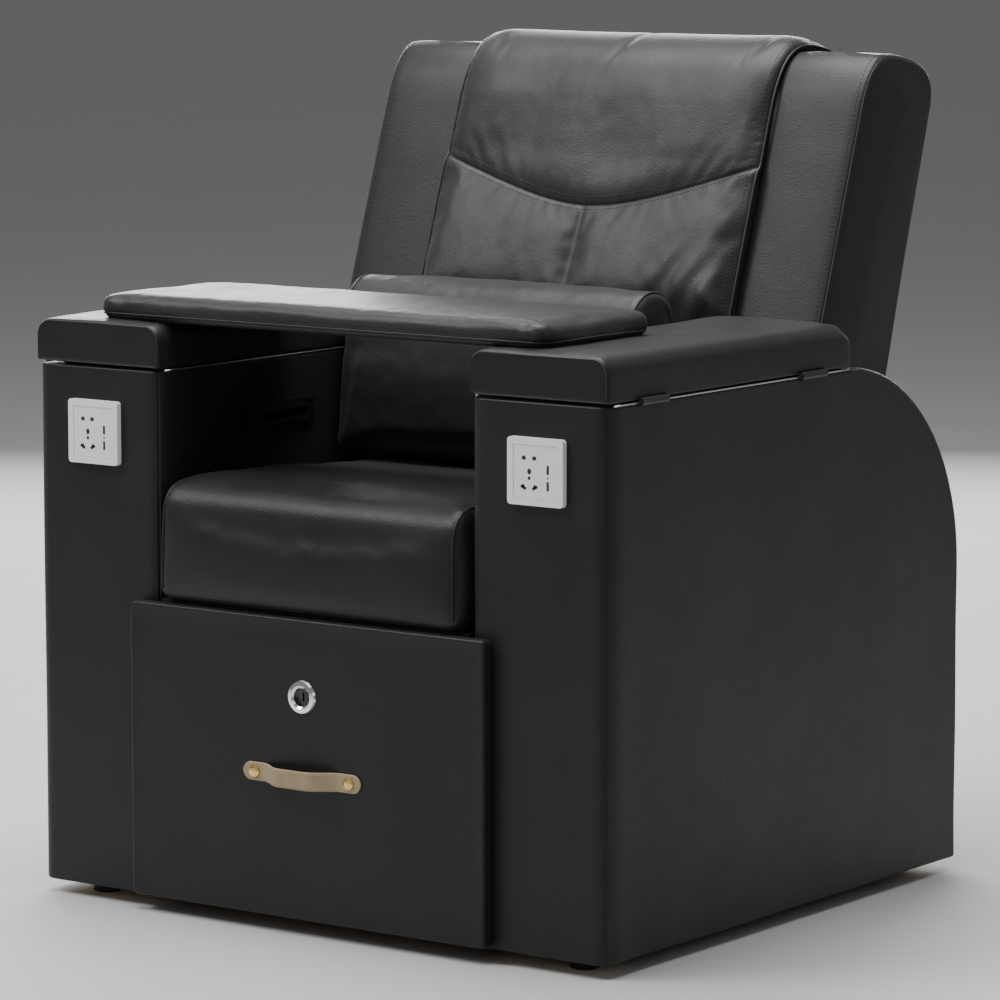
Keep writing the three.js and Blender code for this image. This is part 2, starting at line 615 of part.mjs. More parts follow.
function backCore() {
  const wings = new THREE.Shape();
  const from = Math.acos(BACK.front / BACK.wingArc);
  const to = Math.acos(BACK.rearLow / BACK.wingArc);
  wings.absarc(0, 0, BACK.wingArc, to, from, false);
  headOutline(wings);
  wings.closePath();
  const centre = outline([[BACK.front, BACK.centreFoot], [rearAt(BACK.centreFoot), BACK.centreFoot],
    [rearAt(330), 330], [BACK.front, 330]]);
  const crankRoom = block(-32, 32, -8, 140, 0, 92);
  return piece('back_core', cut(join(
    alongX(wings, -BACK.halfWidth, BACK.halfWidth, 12),
    alongX(centre, -BACK.centreHalf, BACK.centreHalf)), crankRoom), leather());
}

function backRearCover() {
  const wide = BACK.halfWidth - 12;
  const narrow = BACK.centreHalf - 8;
  const shape = outline([[-narrow, 70], [narrow, 70], [narrow, 300], [wide, 300], [wide, 690],
    [-wide, 690], [-wide, 300], [-narrow, 300]]);
  const cover = piece('back_rear_cover', alongY(shape, 0, BACK.coverThick), leather());
  cover.rotation.x = Math.atan(-rearSlope);
  cover.position.set(0, rearAt(0) + GAP + 0.6, 0);
  return cover;
}

// A rolled top on a wedge that fills the space in front of the backrest above the seat.
function lumbarCushion() {
  const { halfWidth, rollY, rollZ, rollR } = LUMBAR;
  const rear = BACK.front - 0.6;
  const shape = new THREE.Shape();
  shape.moveTo(rear, 140);
  shape.lineTo(rear, 298);
  shape.quadraticCurveTo(-120, 298, rollY + rollR * 0.94, rollZ + rollR * 0.34);
  shape.absarc(rollY, rollZ, rollR, 0.35, Math.PI + 0.08, false);
  shape.quadraticCurveTo(-268, 190, -238, 84);
  shape.lineTo(-226, 84);
  shape.closePath();
  return piece('lumbar_cushion', alongX(shape, -halfWidth, halfWidth, 12), leather());
}

// Pad hung over the head of the backrest: a band that follows its outline from low in front,
// over the top, to a thinner tail that lies on the rear cover. It is thickest above the lids.
function backPad() {
  const line = new THREE.Shape();
  line.moveTo(BACK.front, PAD.foot);
  line.lineTo(BACK.front, PAD.foot + 30);
  headOutline(line);
  line.lineTo(rearAt(PAD.tailFoot), PAD.tailFoot);
  const points = line.getPoints(8).filter((p, i, all) => i === 0 || p.distanceTo(all[i - 1]) > 0.5);
  const offset = (i, distance) => {
    const before = points[Math.max(0, i - 1)];
    const after = points[Math.min(points.length - 1, i + 1)];
    const along = after.clone().sub(before).normalize();
    return [points[i].x - along.y * distance, points[i].y + along.x * distance];
  };
  const behind = (p) => THREE.MathUtils.smoothstep(p.x, 10, BACK.rearHigh - 4);
  const clear = (p) => THREE.MathUtils.lerp(0.8, BACK.coverThick + 2, behind(p));
  const thick = (p, i) =>
    THREE.MathUtils.lerp(i === 0 ? PAD.front * 0.6 : PAD.front, PAD.tail, behind(p));
  const inner = points.map((p, i) => offset(i, clear(p)));
  const outer = points.map((p, i) => offset(i, clear(p) + thick(p, i))).reverse();
  const face = BACK.front - 0.8;
  const foot = outline([[face, PAD_FOOT.bottom], [face, PAD_FOOT.top], [face - PAD.front, PAD_FOOT.top],
    [face - PAD_FOOT.thick, PAD_FOOT.fullAt], [face - PAD.front, PAD_FOOT.bottom]]);
  return piece('back_pad', join(
    alongX(outline([...inner, ...outer]), -PAD.halfWidth, PAD.halfWidth),
    alongX(foot, -PAD_FOOT.halfWidth, PAD_FOOT.halfWidth)), leather());
}

const CRANK = {
  y: GAS.crank * Math.cos(RECLINE / 2 + LEAN),
  z: GAS.crank * Math.sin(RECLINE / 2 + LEAN),
};

// Two side plates, the cross tube on the recline axis, and the crank that meets the gas rod.
function backrestFrame() {
  const plate = new THREE.Shape();
  plate.absarc(0, 0, 26, Math.PI, 2 * Math.PI, false);
  plate.lineTo(45, 230);
  plate.lineTo(-32, 230);
  plate.closePath();
  const lug = new THREE.Shape();
  const reach = Math.atan2(CRANK.z, CRANK.y);
  lug.absarc(CRANK.y, CRANK.z, 11, reach - Math.PI / 2, reach + Math.PI / 2, false);
  lug.absarc(0, 0, 15, reach + Math.PI / 2, reach + 1.5 * Math.PI, false);
  lug.closePath();
  const parts = [barX(17, -244, 244), barX(4, -14, 14, CRANK.y, CRANK.z, 16)];
  for (const sign of [-1, 1]) {
    const near = sign < 0 ? -244 : 239;
    parts.push(alongX(plate, near, near + 5, 8));
    const lugNear = sign < 0 ? -14 : 9;
    parts.push(alongX(lug, lugNear, lugNear + 5, 6));
  }
  const bores = [barX(8.4, -250, -222), barX(8.4, 222, 250)];
  return piece('backrest_frame', cut(join(...parts), ...bores), blackSteel());
}

function backrest() {
  const group = new THREE.Group();
  group.position.set(0, PIVOT.y, PIVOT.z);
  group.rotation.x = -LEAN;
  group.add(backrestFrame(), backCore(), backRearCover(), lumbarCushion(), backPad());
  return group;
}

// ---- gas spring -------------------------------------------------------------------------

function gasSpring() {
  const { y, radius, base, bodyFrom, bodyTo, rod } = GAS;
  const bore = rod + 0.8;
  const tang = block(-5, 5, y - 9, y + 9, base - 9, bodyFrom + 4);
  const body = cut(join(barZ(radius, bodyFrom, bodyTo, 0, y), tang),
    barX(4.4, -20, 20, y, base, 16), barZ(bore, 150, bodyTo + 5, 0, y, 20));
  const eyeZ = PIVOT.z + GAS.crank * Math.sin(RECLINE / 2);
  const eye = cut(join(barX(13, -6, 6, y, eyeZ), barZ(rod, 240, eyeZ - 10, 0, y, 20)),
    barX(8, -20, 20, y, eyeZ));
  return [piece('gas_cylinder', body, blackSteel()), piece('gas_rod', eye, chrome())];
}

// ---- assembly ---------------------------------------------------------------------------

const chair = new THREE.Group();
chair.position.y = -DATUM_Y;
chair.add(
  ...arms(), ...feet(), ...structure(), crossMember(), ...pivotBrackets(), seatCushion(),
  ...sockets(), mainsInlet(), ...cables(), reclineBezel(), reclinePaddle(),
  ...lidHinges(true), ...lidHinges(false), ...lids(), ...manicureBoard(),
  drawerFront(), drawerBox(), ...runners('outer'), ...runners('middle'), ...runners('inner'),
  lockHousing(), lockPlug(), strapHandle(), ...studs(), backrest(), ...gasSpring());

export default chair;
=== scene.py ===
"""Pedicure spa chair: upholstery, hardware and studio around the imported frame."""
import math

import bmesh
import bpy
import numpy as np
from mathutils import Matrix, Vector, noise
from mathutils.geometry import delaunay_2d_cdt
from mathutils.kdtree import KDTree
from mathutils.bvhtree import BVHTree


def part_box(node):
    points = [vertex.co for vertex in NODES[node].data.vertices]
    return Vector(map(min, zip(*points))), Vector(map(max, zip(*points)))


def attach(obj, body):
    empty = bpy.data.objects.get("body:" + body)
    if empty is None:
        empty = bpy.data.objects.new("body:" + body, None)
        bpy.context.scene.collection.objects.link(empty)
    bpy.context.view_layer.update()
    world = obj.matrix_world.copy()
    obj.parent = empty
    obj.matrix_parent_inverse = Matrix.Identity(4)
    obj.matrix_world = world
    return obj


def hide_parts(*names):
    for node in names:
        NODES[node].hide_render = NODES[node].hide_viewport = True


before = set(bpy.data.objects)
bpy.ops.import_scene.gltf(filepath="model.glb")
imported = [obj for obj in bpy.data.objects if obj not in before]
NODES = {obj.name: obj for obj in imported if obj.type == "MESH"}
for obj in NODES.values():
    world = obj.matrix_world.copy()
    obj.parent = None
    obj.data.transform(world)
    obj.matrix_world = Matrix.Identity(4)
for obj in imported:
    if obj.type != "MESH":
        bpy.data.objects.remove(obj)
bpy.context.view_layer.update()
SCENE = bpy.context.scene
SIDES = {"left": -1, "right": 1}

# Drawn millimetres: y runs back from the arms' front faces, and DATUM_Y brings it to the frame.
DATUM_Y = 428.0
PIVOT_Y, PIVOT_Z = 555.0, 431.0
LEAN = math.radians(18.8)
ARM_IN, ARM_OUT, ARM_TOP, ARM_BOTTOM, ARM_DEPTH, ARM_ARC = 256.0, 471.0, 728.0, 18.0, 855.0, 300.0
BACK_HALF, BACK_FRONT, FOOT_ARC = 406.0, -70.6, 308.0
HEAD_FROM, HEAD_TO, HEAD_BACK = 650.0, 700.0, 102.0
HINGES_Y = (97.5, 470.0)
SOCKET_X, SOCKET_Z, SOCKET_FACE_Y = 365.0, 641.0, -7.78
LOCK_Z = 319.0
# The pad over the backrest: half its width, its lower edge, its centre seam and the rows below
# the seam across it.
PAD_HALF, PAD_FOOT, SEAM_X, SEAM_ROWS = 265.0, 306.0, -4.0, 26
FLOOR_HALF = 160
BOX_FACES = [(0, 1, 3, 2), (4, 6, 7, 5), (0, 4, 5, 1), (2, 3, 7, 6), (0, 2, 6, 4), (1, 5, 7, 3)]


# ---- camera, light and floor ----

def camera():
    data = bpy.data.cameras.new("camera")
    data.lens, data.sensor_width = 175.5, 36.0
    cam = bpy.data.objects.new("camera", data)
    cam.location = (3.900, -5.369, 1.408)
    cam.rotation_euler = (math.radians(82.47), 0.0, math.radians(36.04))
    SCENE.collection.objects.link(cam)
    SCENE.camera = cam


def area_light(name, place, target, size, power):
    data = bpy.data.lights.new(name, "AREA")
    data.shape, data.size, data.size_y, data.energy = "RECTANGLE", size[0], size[1], power
    lamp = bpy.data.objects.new(name, data)
    lamp.location = place
    aim = Vector(target) - Vector(place)
    lamp.rotation_euler = aim.to_track_quat("-Z", "Y").to_euler()
    SCENE.collection.objects.link(lamp)


def studio():
    area_light("overhead", (-0.2, -0.1, 3.7), (0.0, 0.1, 0.6), (2.8, 2.2), 215)
    area_light("rear_strip", (-2.6, 3.6, 1.9), (0.0, 0.0, 0.75), (4.4, 1.8), 250)
    area_light("front_left", (-2.6, -2.9, 4.3), (0.0, 0.3, 0.9), (2.2, 1.6), 150)
    area_light("front_fill", (0.6, -5.4, 2.6), (0.0, 0.0, 0.5), (3.0, 2.0), 12)
    area_light("side_fill", (4.6, -0.6, 1.9), (0.4, 0.0, 0.5), (2.4, 2.0), 12)
    world = bpy.data.worlds.new("studio")
    world.use_nodes = True
    sky = world.node_tree.nodes["Background"].inputs
    sky["Color"].default_value = (0.80, 0.80, 0.81, 1)
    sky["Strength"].default_value = 0.28
    SCENE.world = world
    mesh = bpy.data.meshes.new("floor")
    corners = [(x * FLOOR_HALF, y * FLOOR_HALF, 0) for x, y in ((-1, -1), (1, -1), (1, 1), (-1, 1))]
    mesh.from_pydata(corners, [], [(0, 1, 2, 3)])
    floor = bpy.data.objects.new("floor", mesh)
    SCENE.collection.objects.link(floor)
    mesh.materials.append(plain("floor_pale", (0.50, 0.50, 0.495), 0.8))


# ---- materials ----

class Nodes:
    """A material under construction: short calls for the node types that are used here."""

    def __init__(self, name, rough=0.5, metal=0.0):
        self.mat = bpy.data.materials.new(name)
        self.mat.use_nodes = True
        self.tree = self.mat.node_tree
        self.bsdf = self.tree.nodes["Principled BSDF"]
        self.bsdf.inputs["Roughness"].default_value = rough
        self.bsdf.inputs["Metallic"].default_value = metal
        self.where = self.tree.nodes.new("ShaderNodeTexCoord").outputs["Object"]

    def link(self, a, b):
        self.tree.links.new(a, b)

    def set(self, socket, value):
        self.bsdf.inputs[socket].default_value = value

    def scaled(self, scale):
        node = self.tree.nodes.new("ShaderNodeMapping")
        node.inputs["Scale"].default_value = scale
        self.link(self.where, node.inputs["Vector"])
        return node.outputs["Vector"]

    def noise(self, scale, detail=3.0, rough=0.5, where=None, distortion=0.0):
        node = self.tree.nodes.new("ShaderNodeTexNoise")
        node.inputs["Scale"].default_value = scale
        node.inputs["Detail"].default_value = detail
        node.inputs["Roughness"].default_value = rough
        node.inputs["Distortion"].default_value = distortion
        self.link(where or self.where, node.inputs["Vector"])
        return node.outputs["Fac"]

    def pebbles(self, scale):
        node = self.tree.nodes.new("ShaderNodeTexVoronoi")
        node.feature = "SMOOTH_F1"
        node.inputs["Scale"].default_value = scale
        self.link(self.where, node.inputs["Vector"])
        return node.outputs["Distance"]

    def ramp(self, value, stops):
        node = self.tree.nodes.new("ShaderNodeValToRGB")
        points = node.color_ramp.elements
        while len(points) < len(stops):
            points.new(0.5)
        for point, (at, colour) in zip(points, stops):
            point.position = at
            point.color = (colour,) * 3 + (1,) if isinstance(colour, float) else (*colour, 1)
        self.link(value, node.inputs["Fac"])
        return node.outputs["Color"]

    def bump(self, height, strength, distance, after=None):
        node = self.tree.nodes.new("ShaderNodeBump")
        node.inputs["Strength"].default_value = strength
        node.inputs["Distance"].default_value = distance
        self.link(height, node.inputs["Height"])
        if after:
            self.link(after, node.inputs["Normal"])
        return node.outputs["Normal"]

    def finish(self, colour=None, rough=None, normal=None):
        for value, socket in ((colour, "Base Color"), (rough, "Roughness"), (normal, "Normal")):
            if value is not None:
                self.link(value, self.bsdf.inputs[socket])
        return self.mat


def plain(name, colour, rough):
    made = Nodes(name, rough)
    tone = made.ramp(made.noise(3.0), [(0.3, tuple(c * 0.97 for c in colour)), (0.7, colour)])
    return made.finish(tone)


def leather(name, dark, light, rough, grain=1.0):
    """Embossed upholstery leather: pebbled grain, pores, faint mottling and rubbed gloss."""
    made = Nodes(name, rough)
    mottle = made.noise(7.0, 5.0, 0.6)
    colour = made.ramp(mottle, [(0.25, dark), (0.75, light)])
    gloss = made.ramp(made.noise(16.0, 6.0, 0.7), [(0.2, rough - 0.06), (0.8, rough + 0.07)])
    fine = made.noise(260.0, 2.0)
    pebble = made.bump(made.pebbles(620.0), 0.34 * grain, 0.0006)
    pores = made.bump(fine, 0.25 * grain, 0.0005, pebble)
    wrinkled = made.noise(34.0, 6.0, 0.65, distortion=0.8)
    creases = made.bump(wrinkled, 0.20 * grain, 0.0015, pores)
    made.set("Specular IOR Level", 0.32)
    made.set("Sheen Weight", 0.06)
    made.set("Sheen Roughness", 0.5)
    return made.finish(colour, gloss, creases)


def wood(name, tone):
    """Grain along x, its three shades scaled by tone."""
    made = Nodes(name, 0.62)
    grain = made.noise(9.0, 7.0, 0.65, made.scaled((1.0, 14.0, 40.0)), 0.6)
    shades = [(0.25, (0.33, 0.20, 0.10)), (0.5, (0.47, 0.31, 0.17)), (0.8, (0.58, 0.41, 0.24))]
    colour = made.ramp(grain, [(at, tuple(c * tone for c in shade)) for at, shade in shades])
    gloss = made.ramp(grain, [(0.2, 0.56), (0.8, 0.7)])
    return made.finish(colour, gloss, made.bump(grain, 0.25, 0.0006))


def cloth(name, dark, light):
    """Non-woven lining: matt fibres pressed flat."""
    made = Nodes(name, 0.92)
    fibres = made.noise(420.0, 4.0, 0.8, made.scaled((1.0, 0.35, 1.0)))
    colour = made.ramp(fibres, [(0.3, dark), (0.7, light)])
    return made.finish(colour, None, made.bump(fibres, 0.5, 0.0005))


def metal(name, dark, light, rough, brushed=(1.0, 1.0, 1.0), scale=60.0, strength=0.08):
    """Metal with faint wear in its colour and gloss; brushed stretches the wear."""
    made = Nodes(name, rough, 1.0)
    wear = made.noise(scale, 5.0, 0.7, made.scaled(brushed))
    colour = made.ramp(wear, [(0.3, dark), (0.7, light)])
    gloss = made.ramp(wear, [(0.2, max(0.03, rough - 0.05)), (0.8, rough + 0.08)])
    return made.finish(colour, gloss, made.bump(wear, strength, 0.0004))


def plastic(name, dark, light, rough, texture=0.06, scale=700.0):
    """Moulded or painted surface with a fine texture, also used for rubber and thread."""
    made = Nodes(name, rough)
    fine = made.noise(scale, 3.0)
    colour = made.ramp(made.noise(11.0, 4.0), [(0.3, dark), (0.7, light)])
    worn = [(0.3, max(0.05, rough - 0.04)), (0.75, rough + 0.05)]
    gloss = made.ramp(made.noise(40.0, 5.0, 0.7), worn)
    return made.finish(colour, gloss, made.bump(fine, texture, 0.0004))


def grey(tone, blue=0.0):
    return tone, tone, tone + blue


def materials():
    """Every finish by its slot name."""
    return {
        "black_leather": leather("leather_black", grey(0.0065, 0.0005), grey(0.0105, 0.0007), 0.44),
        "pad_leather": leather("leather_black_soft", grey(0.0125, 0.0007), grey(0.0180, 0.0010),
                               0.44, 1.2),
        "thread": plastic("thread_black", grey(0.012, 0.001), grey(0.022, 0.001), 0.55, 0.4),
        "lining": cloth("lining_black", grey(0.012, 0.001), grey(0.022, 0.001)),
        "plywood": wood("plywood_birch", 1.0),
        "dark_plywood": wood("plywood_stained", 0.02),
        "black_steel": plastic("powder_coat_black", grey(0.018, 0.001), grey(0.03, 0.001),
                               0.45, 0.35, 900.0),
        "zinc_steel": metal("zinc_plated", (0.50, 0.51, 0.52), (0.68, 0.69, 0.70), 0.32, (1, 12, 1)),
        "chrome": metal("chrome_polished", grey(0.86, 0.01), grey(0.95), 0.12,
                        scale=30.0, strength=0.03),
        # painted shade: the lock plug's steel is near black so that the hollow inside the chrome ring
        # reads dark
        "plug_painted_shade": metal("plug_painted_shade", grey(0.05), grey(0.10), 0.24, scale=50.0),
        "brass": metal("brass_polished", (0.78, 0.53, 0.17), (0.92, 0.68, 0.27), 0.24, scale=90.0),
        "strap_leather": leather("leather_tan", (0.27, 0.205, 0.120), (0.41, 0.325, 0.205), 0.50, 1.3),
        "tan_thread": plastic("thread_tan", (0.40, 0.30, 0.18), (0.50, 0.39, 0.25), 0.6, 0.4),
        "socket_plastic": plastic("moulded_white", (0.86, 0.845, 0.81), (0.91, 0.895, 0.86),
                                  0.28, 0.03),
        "black_plastic": plastic("moulded_black", grey(0.011, 0.001), grey(0.018, 0.001), 0.34, 0.2),
        "cable_rubber": plastic("cable_sheath", grey(0.016), grey(0.026), 0.6, 0.3),
        "foot_rubber": plastic("foot_rubber", grey(0.014), grey(0.024), 0.8, 0.4),
    }


# ---- outlines and meshes ----

def fillet(corners, step=12.0, arc=6):
    """Corners (a, b, radius) as a dense closed outline, each corner rounded."""
    points = []
    count = len(corners)
    for i, (a, b, radius) in enumerate(corners):
        here = np.array([a, b], float)
        if radius <= 0:
            points.append(here)
            continue
        before = np.array(corners[i - 1][:2], float) - here
        after = np.array(corners[(i + 1) % count][:2], float) - here
        length0, length1 = np.linalg.norm(before), np.linalg.norm(after)
        d0, d1 = before / length0, after / length1
        half = 0.5 * math.acos(max(-1.0, min(1.0, float(d0 @ d1))))
        reach = min(radius / math.tan(half), 0.49 * length0, 0.49 * length1)
        to_centre = math.hypot(reach, reach * math.tan(half))
        centre = here + (d0 + d1) / np.linalg.norm(d0 + d1) * to_centre
        p0, p1 = here + d0 * reach - centre, here + d1 * reach - centre
        turn = math.pi - 2 * half
        for k in range(arc + 1):
            t = k / arc
            w0 = math.sin((1 - t) * turn) / math.sin(turn)
            w1 = math.sin(t * turn) / math.sin(turn)
            points.append(centre + p0 * w0 + p1 * w1)
    dense = []
    for i, p in enumerate(points):
        q = points[(i + 1) % len(points)]
        parts = max(1, int(round(np.linalg.norm(q - p) / step)))
        dense += [p + (q - p) * k / parts for k in range(parts)]
    kept = [p for i, p in enumerate(dense) if np.linalg.norm(p - dense[i - 1]) > 0.3]
    outline = np.array(kept)
    a, b = outline[:, 0], outline[:, 1]
    if np.sum(a * np.roll(b, -1) - b * np.roll(a, -1)) < 0:
        outline = outline[::-1]
    return outline


def arc_points(ca, cb, radius, start, end, count):
    return [(ca + radius * math.cos(t), cb + radius * math.sin(t), 0.0)
            for t in np.linspace(start, end, count)]


def rectangle(a0, a1, b0, b1, radii, step, arc=8):
    """A rounded rectangle; radii run low-low, high-low, high-high, low-high."""
    corners = ((a0, b0), (a1, b0), (a1, b1), (a0, b1))
    return fillet([(*corner, radius) for corner, radius in zip(corners, radii)], step, arc)


def outward(outline):
    """Mitred outward normals at the points of a closed outline."""
    edge = np.roll(outline, -1, 0) - outline
    edge /= np.linalg.norm(edge, axis=1)[:, None]
    normal = np.stack([edge[:, 1], -edge[:, 0]], 1)
    mean = normal + np.roll(normal, 1, 0)
    mean /= np.linalg.norm(mean, axis=1)[:, None]
    mitre = np.clip(np.sum(mean * normal, 1), 0.5, 1.0)
    return mean / mitre[:, None]


def rise(value, width):
    """0 below zero, 1 above width, straight between."""
    return np.clip(value / width, 0, 1)


def smooth_ring(values):
    for _ in range(4):
        values = (np.roll(values, 1) + 2 * values + np.roll(values, -1)) / 4
    return values


def along_x(t, a, b):
    return t, a, b


def along_y(t, a, b):
    return a, t, b


def along_z(t, a, b):
    return a, b, t


def ring_faces(rings, sides, closed=False, start=0):
    """Quads that join successive rings of points."""
    faces = []
    for r in range(rings if closed else rings - 1):
        here, after = start + r * sides, start + (r + 1) % rings * sides
        for s in range(sides):
            u = (s + 1) % sides
            faces.append((here + s, here + u, after + u, after + s))
    return faces


def end_faces(rings, sides, start=0):
    last = start + (rings - 1) * sides
    return [tuple(start + s for s in range(sides)), tuple(last + s for s in range(sides))[::-1]]


def on_back(t, a, b):
    """Backrest millimetres (x, back, up about the recline axis) to drawn millimetres."""
    c, s = math.cos(LEAN), math.sin(LEAN)
    return t, PIVOT_Y + a * c + b * s, PIVOT_Z - a * s + b * c


def metres(points):
    """Drawn millimetres to frame metres."""
    points = np.asarray(points, float)
    return np.stack([points[:, 0], points[:, 1] - DATUM_Y, points[:, 2]], 1) / 1000.0


def drawn(points):
    """Frame metres to drawn millimetres."""
    made = np.array(points) * 1000.0
    made[:, 1] += DATUM_Y
    return made


def mesh_object(name, points, faces, material):
    mesh = bpy.data.meshes.new(name)
    mesh.from_pydata([tuple(p) for p in metres(points)], [], faces)
    work = bmesh.new()
    work.from_mesh(mesh)
    bmesh.ops.remove_doubles(work, verts=work.verts, dist=2e-6)
    bmesh.ops.recalc_face_normals(work, faces=work.faces)
    work.to_mesh(mesh)
    work.free()
    made = bpy.data.objects.new(name, mesh)
    SCENE.collection.objects.link(made)
    mesh.materials.append(material)
    mesh.shade_smooth()
    return made


def cap_mesh(ring, pitch):
    """A flat end filled with even triangles: the ring's points, then inner ones, in 2-D."""
    inner = ring - outward(ring) * 1.5
    low, high = ring.min(0), ring.max(0)
    loose = []
    for j, b in enumerate(np.arange(low[1] + pitch / 2, high[1], pitch * 0.87)):
        for a in np.arange(low[0] + pitch * (0.5 if j % 2 else 0.0), high[0], pitch):
            loose.append((a, b))
    loose = np.array(loose).reshape(-1, 2)
    edge = np.roll(inner, -1, 0) - inner
    inside = np.zeros(len(loose), bool)
    nearest = np.full(len(loose), 1e9)
    for p, d in zip(inner, edge):
        q = p + d
        crosses = (p[1] > loose[:, 1]) != (q[1] > loose[:, 1])
        with np.errstate(divide="ignore", invalid="ignore"):
            at = p[0] + (loose[:, 1] - p[1]) * d[0] / (d[1] if abs(d[1]) > 1e-12 else 1e-12)
        inside ^= crosses & (loose[:, 0] < at)
        t = np.clip((loose - p) @ d / max(1e-9, float(d @ d)), 0, 1)
        nearest = np.minimum(nearest, np.linalg.norm(loose - p - t[:, None] * d, axis=1))
    loose = loose[inside & (nearest > pitch * 0.45)]
    count = len(ring)
    flat = [Vector(p) for p in np.vstack([ring, inner, loose])]
    rims = [(base + i, base + (i + 1) % count) for base in (0, count) for i in range(count)]
    found = delaunay_2d_cdt(flat, rims, [], 1, 1e-5)
    return np.array([tuple(v) for v in found[0]]), [tuple(f) for f in found[2]]


def loft(name, outline, low, high, radius, place, material, step=14.0, arc=4, pitch=18.0, near=()):
    """An outline carried from low to high, its end edges rounded by radius (a number or a
    function); near lists distances from both ends that get a ring of their own."""
    count = len(outline)
    if callable(radius):
        round_by = smooth_ring(np.array([radius(a, b) for a, b in outline]))
    else:
        round_by = np.full(count, float(radius))
    normal = outward(outline)
    quarter = np.linspace(math.pi / 2, 0.0, arc + 1)
    rings = []
    for phi in quarter:
        inset = round_by * (1 - math.cos(phi))
        rings.append((low + round_by * (1 - math.sin(phi)), outline - normal * inset[:, None]))
    length = high - low - 2 * float(round_by.max())
    spans = max(1, int(length / step))
    stops = sorted({k / spans for k in range(1, spans)} | {n / length for n in near}
                   | {1 - n / length for n in near})
    for t in stops:
        rings.append((low + round_by + (high - low - 2 * round_by) * t, outline))
    for phi in quarter[::-1]:
        inset = round_by * (1 - math.cos(phi))
        rings.append((high - round_by * (1 - math.sin(phi)), outline - normal * inset[:, None]))
    points, faces = [], ring_faces(len(rings), count)
    for t, ring in rings:
        points += [place(float(x), a, b) for x, (a, b) in zip(t, ring)]
    for t, ring in (rings[0], rings[-1]):
        flat, filling = cap_mesh(ring, pitch)
        start = len(points)
        points += [place(float(t[0]), a, b) for a, b in flat]
        faces += [tuple(start + i for i in face) for face in filling]
    return mesh_object(name, points, faces, material)


def coords(obj):
    flat = np.empty(len(obj.data.vertices) * 3)
    obj.data.vertices.foreach_get("co", flat)
    return flat.reshape(-1, 3)


def set_coords(obj, points):
    obj.data.vertices.foreach_set("co", points.astype(np.float64).ravel())
    obj.data.update()


def normals(obj):
    flat = np.empty(len(obj.data.vertices) * 3)
    obj.data.vertices.foreach_get("normal", flat)
    return flat.reshape(-1, 3)


def apply_modifier(obj, kind, **settings):
    """Replaces obj's mesh by what one modifier makes of it."""
    modifier = obj.modifiers.new("step", kind)
    for key, value in settings.items():
        setattr(modifier, key, value)
    graph = bpy.context.evaluated_depsgraph_get()
    mesh = bpy.data.meshes.new_from_object(obj.evaluated_get(graph))
    obj.modifiers.remove(modifier)
    old = obj.data
    obj.data = mesh
    bpy.data.meshes.remove(old)
    mesh.shade_smooth()


def smooth(obj, times):
    apply_modifier(obj, "SMOOTH", factor=0.5, iterations=times)


def subdivide(obj):
    apply_modifier(obj, "SUBSURF", levels=1, render_levels=1)


def remesh(obj, size, times):
    apply_modifier(obj, "REMESH", mode="VOXEL", voxel_size=size / 1000.0)
    smooth(obj, times)


def carve(obj, cutters):
    """Takes the cutters' solids out of obj; the new faces take the cutters' material."""
    for cutter in cutters:
        apply_modifier(obj, "BOOLEAN", operation="DIFFERENCE", object=cutter, solver="EXACT",
                       material_mode="TRANSFER")
        bpy.data.objects.remove(cutter)
    keep_flat(obj)


def keep_flat(obj):
    obj.data.shade_smooth()
    obj.data.set_sharp_from_angle(angle=math.radians(32.0))


def mirror(obj):
    """Turns a right-hand cover into the left-hand one."""
    at = coords(obj)
    at[:, 0] *= -1
    set_coords(obj, at)
    obj.data.flip_normals()
    keep_flat(obj)


def brick(name, x0, x1, y0, y1, z0, z1, material):
    points = [(x, y, z) for x in (x0, x1) for y in (y0, y1) for z in (z0, z1)]
    return mesh_object(name, points, BOX_FACES, material)


def undulate(obj, amount, scale, seed, keep=None):
    """Slow swells along the normals, in millimetres, as padding under leather shows them."""
    at, out = coords(obj), normals(obj)
    shift = Vector((seed, seed * 0.7, 3.1))
    swell = np.array([noise.noise(Vector(p) * scale + shift) for p in at])
    weight = np.ones(len(at)) if keep is None else keep(at)
    set_coords(obj, at + out * (swell * weight * amount / 1000.0)[:, None])


def distance_to(points, line):
    """Distance from each point to a polyline, and how far along it the nearest place lies."""
    best = np.full(len(points), 1e9)
    where = np.zeros(len(points))
    run = 0.0
    for p, q in zip(line[:-1], line[1:]):
        d = q - p
        long = float(np.linalg.norm(d))
        if long < 1e-9:
            continue
        t = np.clip((points - p) @ d / long ** 2, 0, 1)
        gap = np.linalg.norm(points - p - t[:, None] * d, axis=1)
        near = gap < best
        best[near], where[near] = gap[near], run + t[near] * long
        run += long
    return best, where


def press_seam(obj, line, depth, width, pucker=0.0, seed=0.0):
    """Draws the surface in along a seam, with small gathers across it."""
    at, out = coords(obj), normals(obj)
    gap, where = distance_to(at, line)
    groove = depth * np.exp(-(gap / (width / 1000.0)) ** 2)
    if pucker:
        wave = np.array([noise.noise(Vector((w * 95.0, seed, 0.3))) for w in where])
        groove = groove + pucker * wave * np.exp(-(gap / 0.016) ** 2)
    set_coords(obj, at - out * (groove / 1000.0)[:, None])


def drop_on(obj, line, lift):
    """The polyline laid on obj's surface, lifted in millimetres: points and normals."""
    tree = BVHTree.FromObject(obj, bpy.context.evaluated_depsgraph_get())
    landed, facing = [], []
    for p in line:
        hit, normal, _, _ = tree.find_nearest(Vector(p))
        landed.append(np.array(hit) + np.array(normal) * lift / 1000.0)
        facing.append(np.array(normal))
    return np.array(landed), np.array(facing)


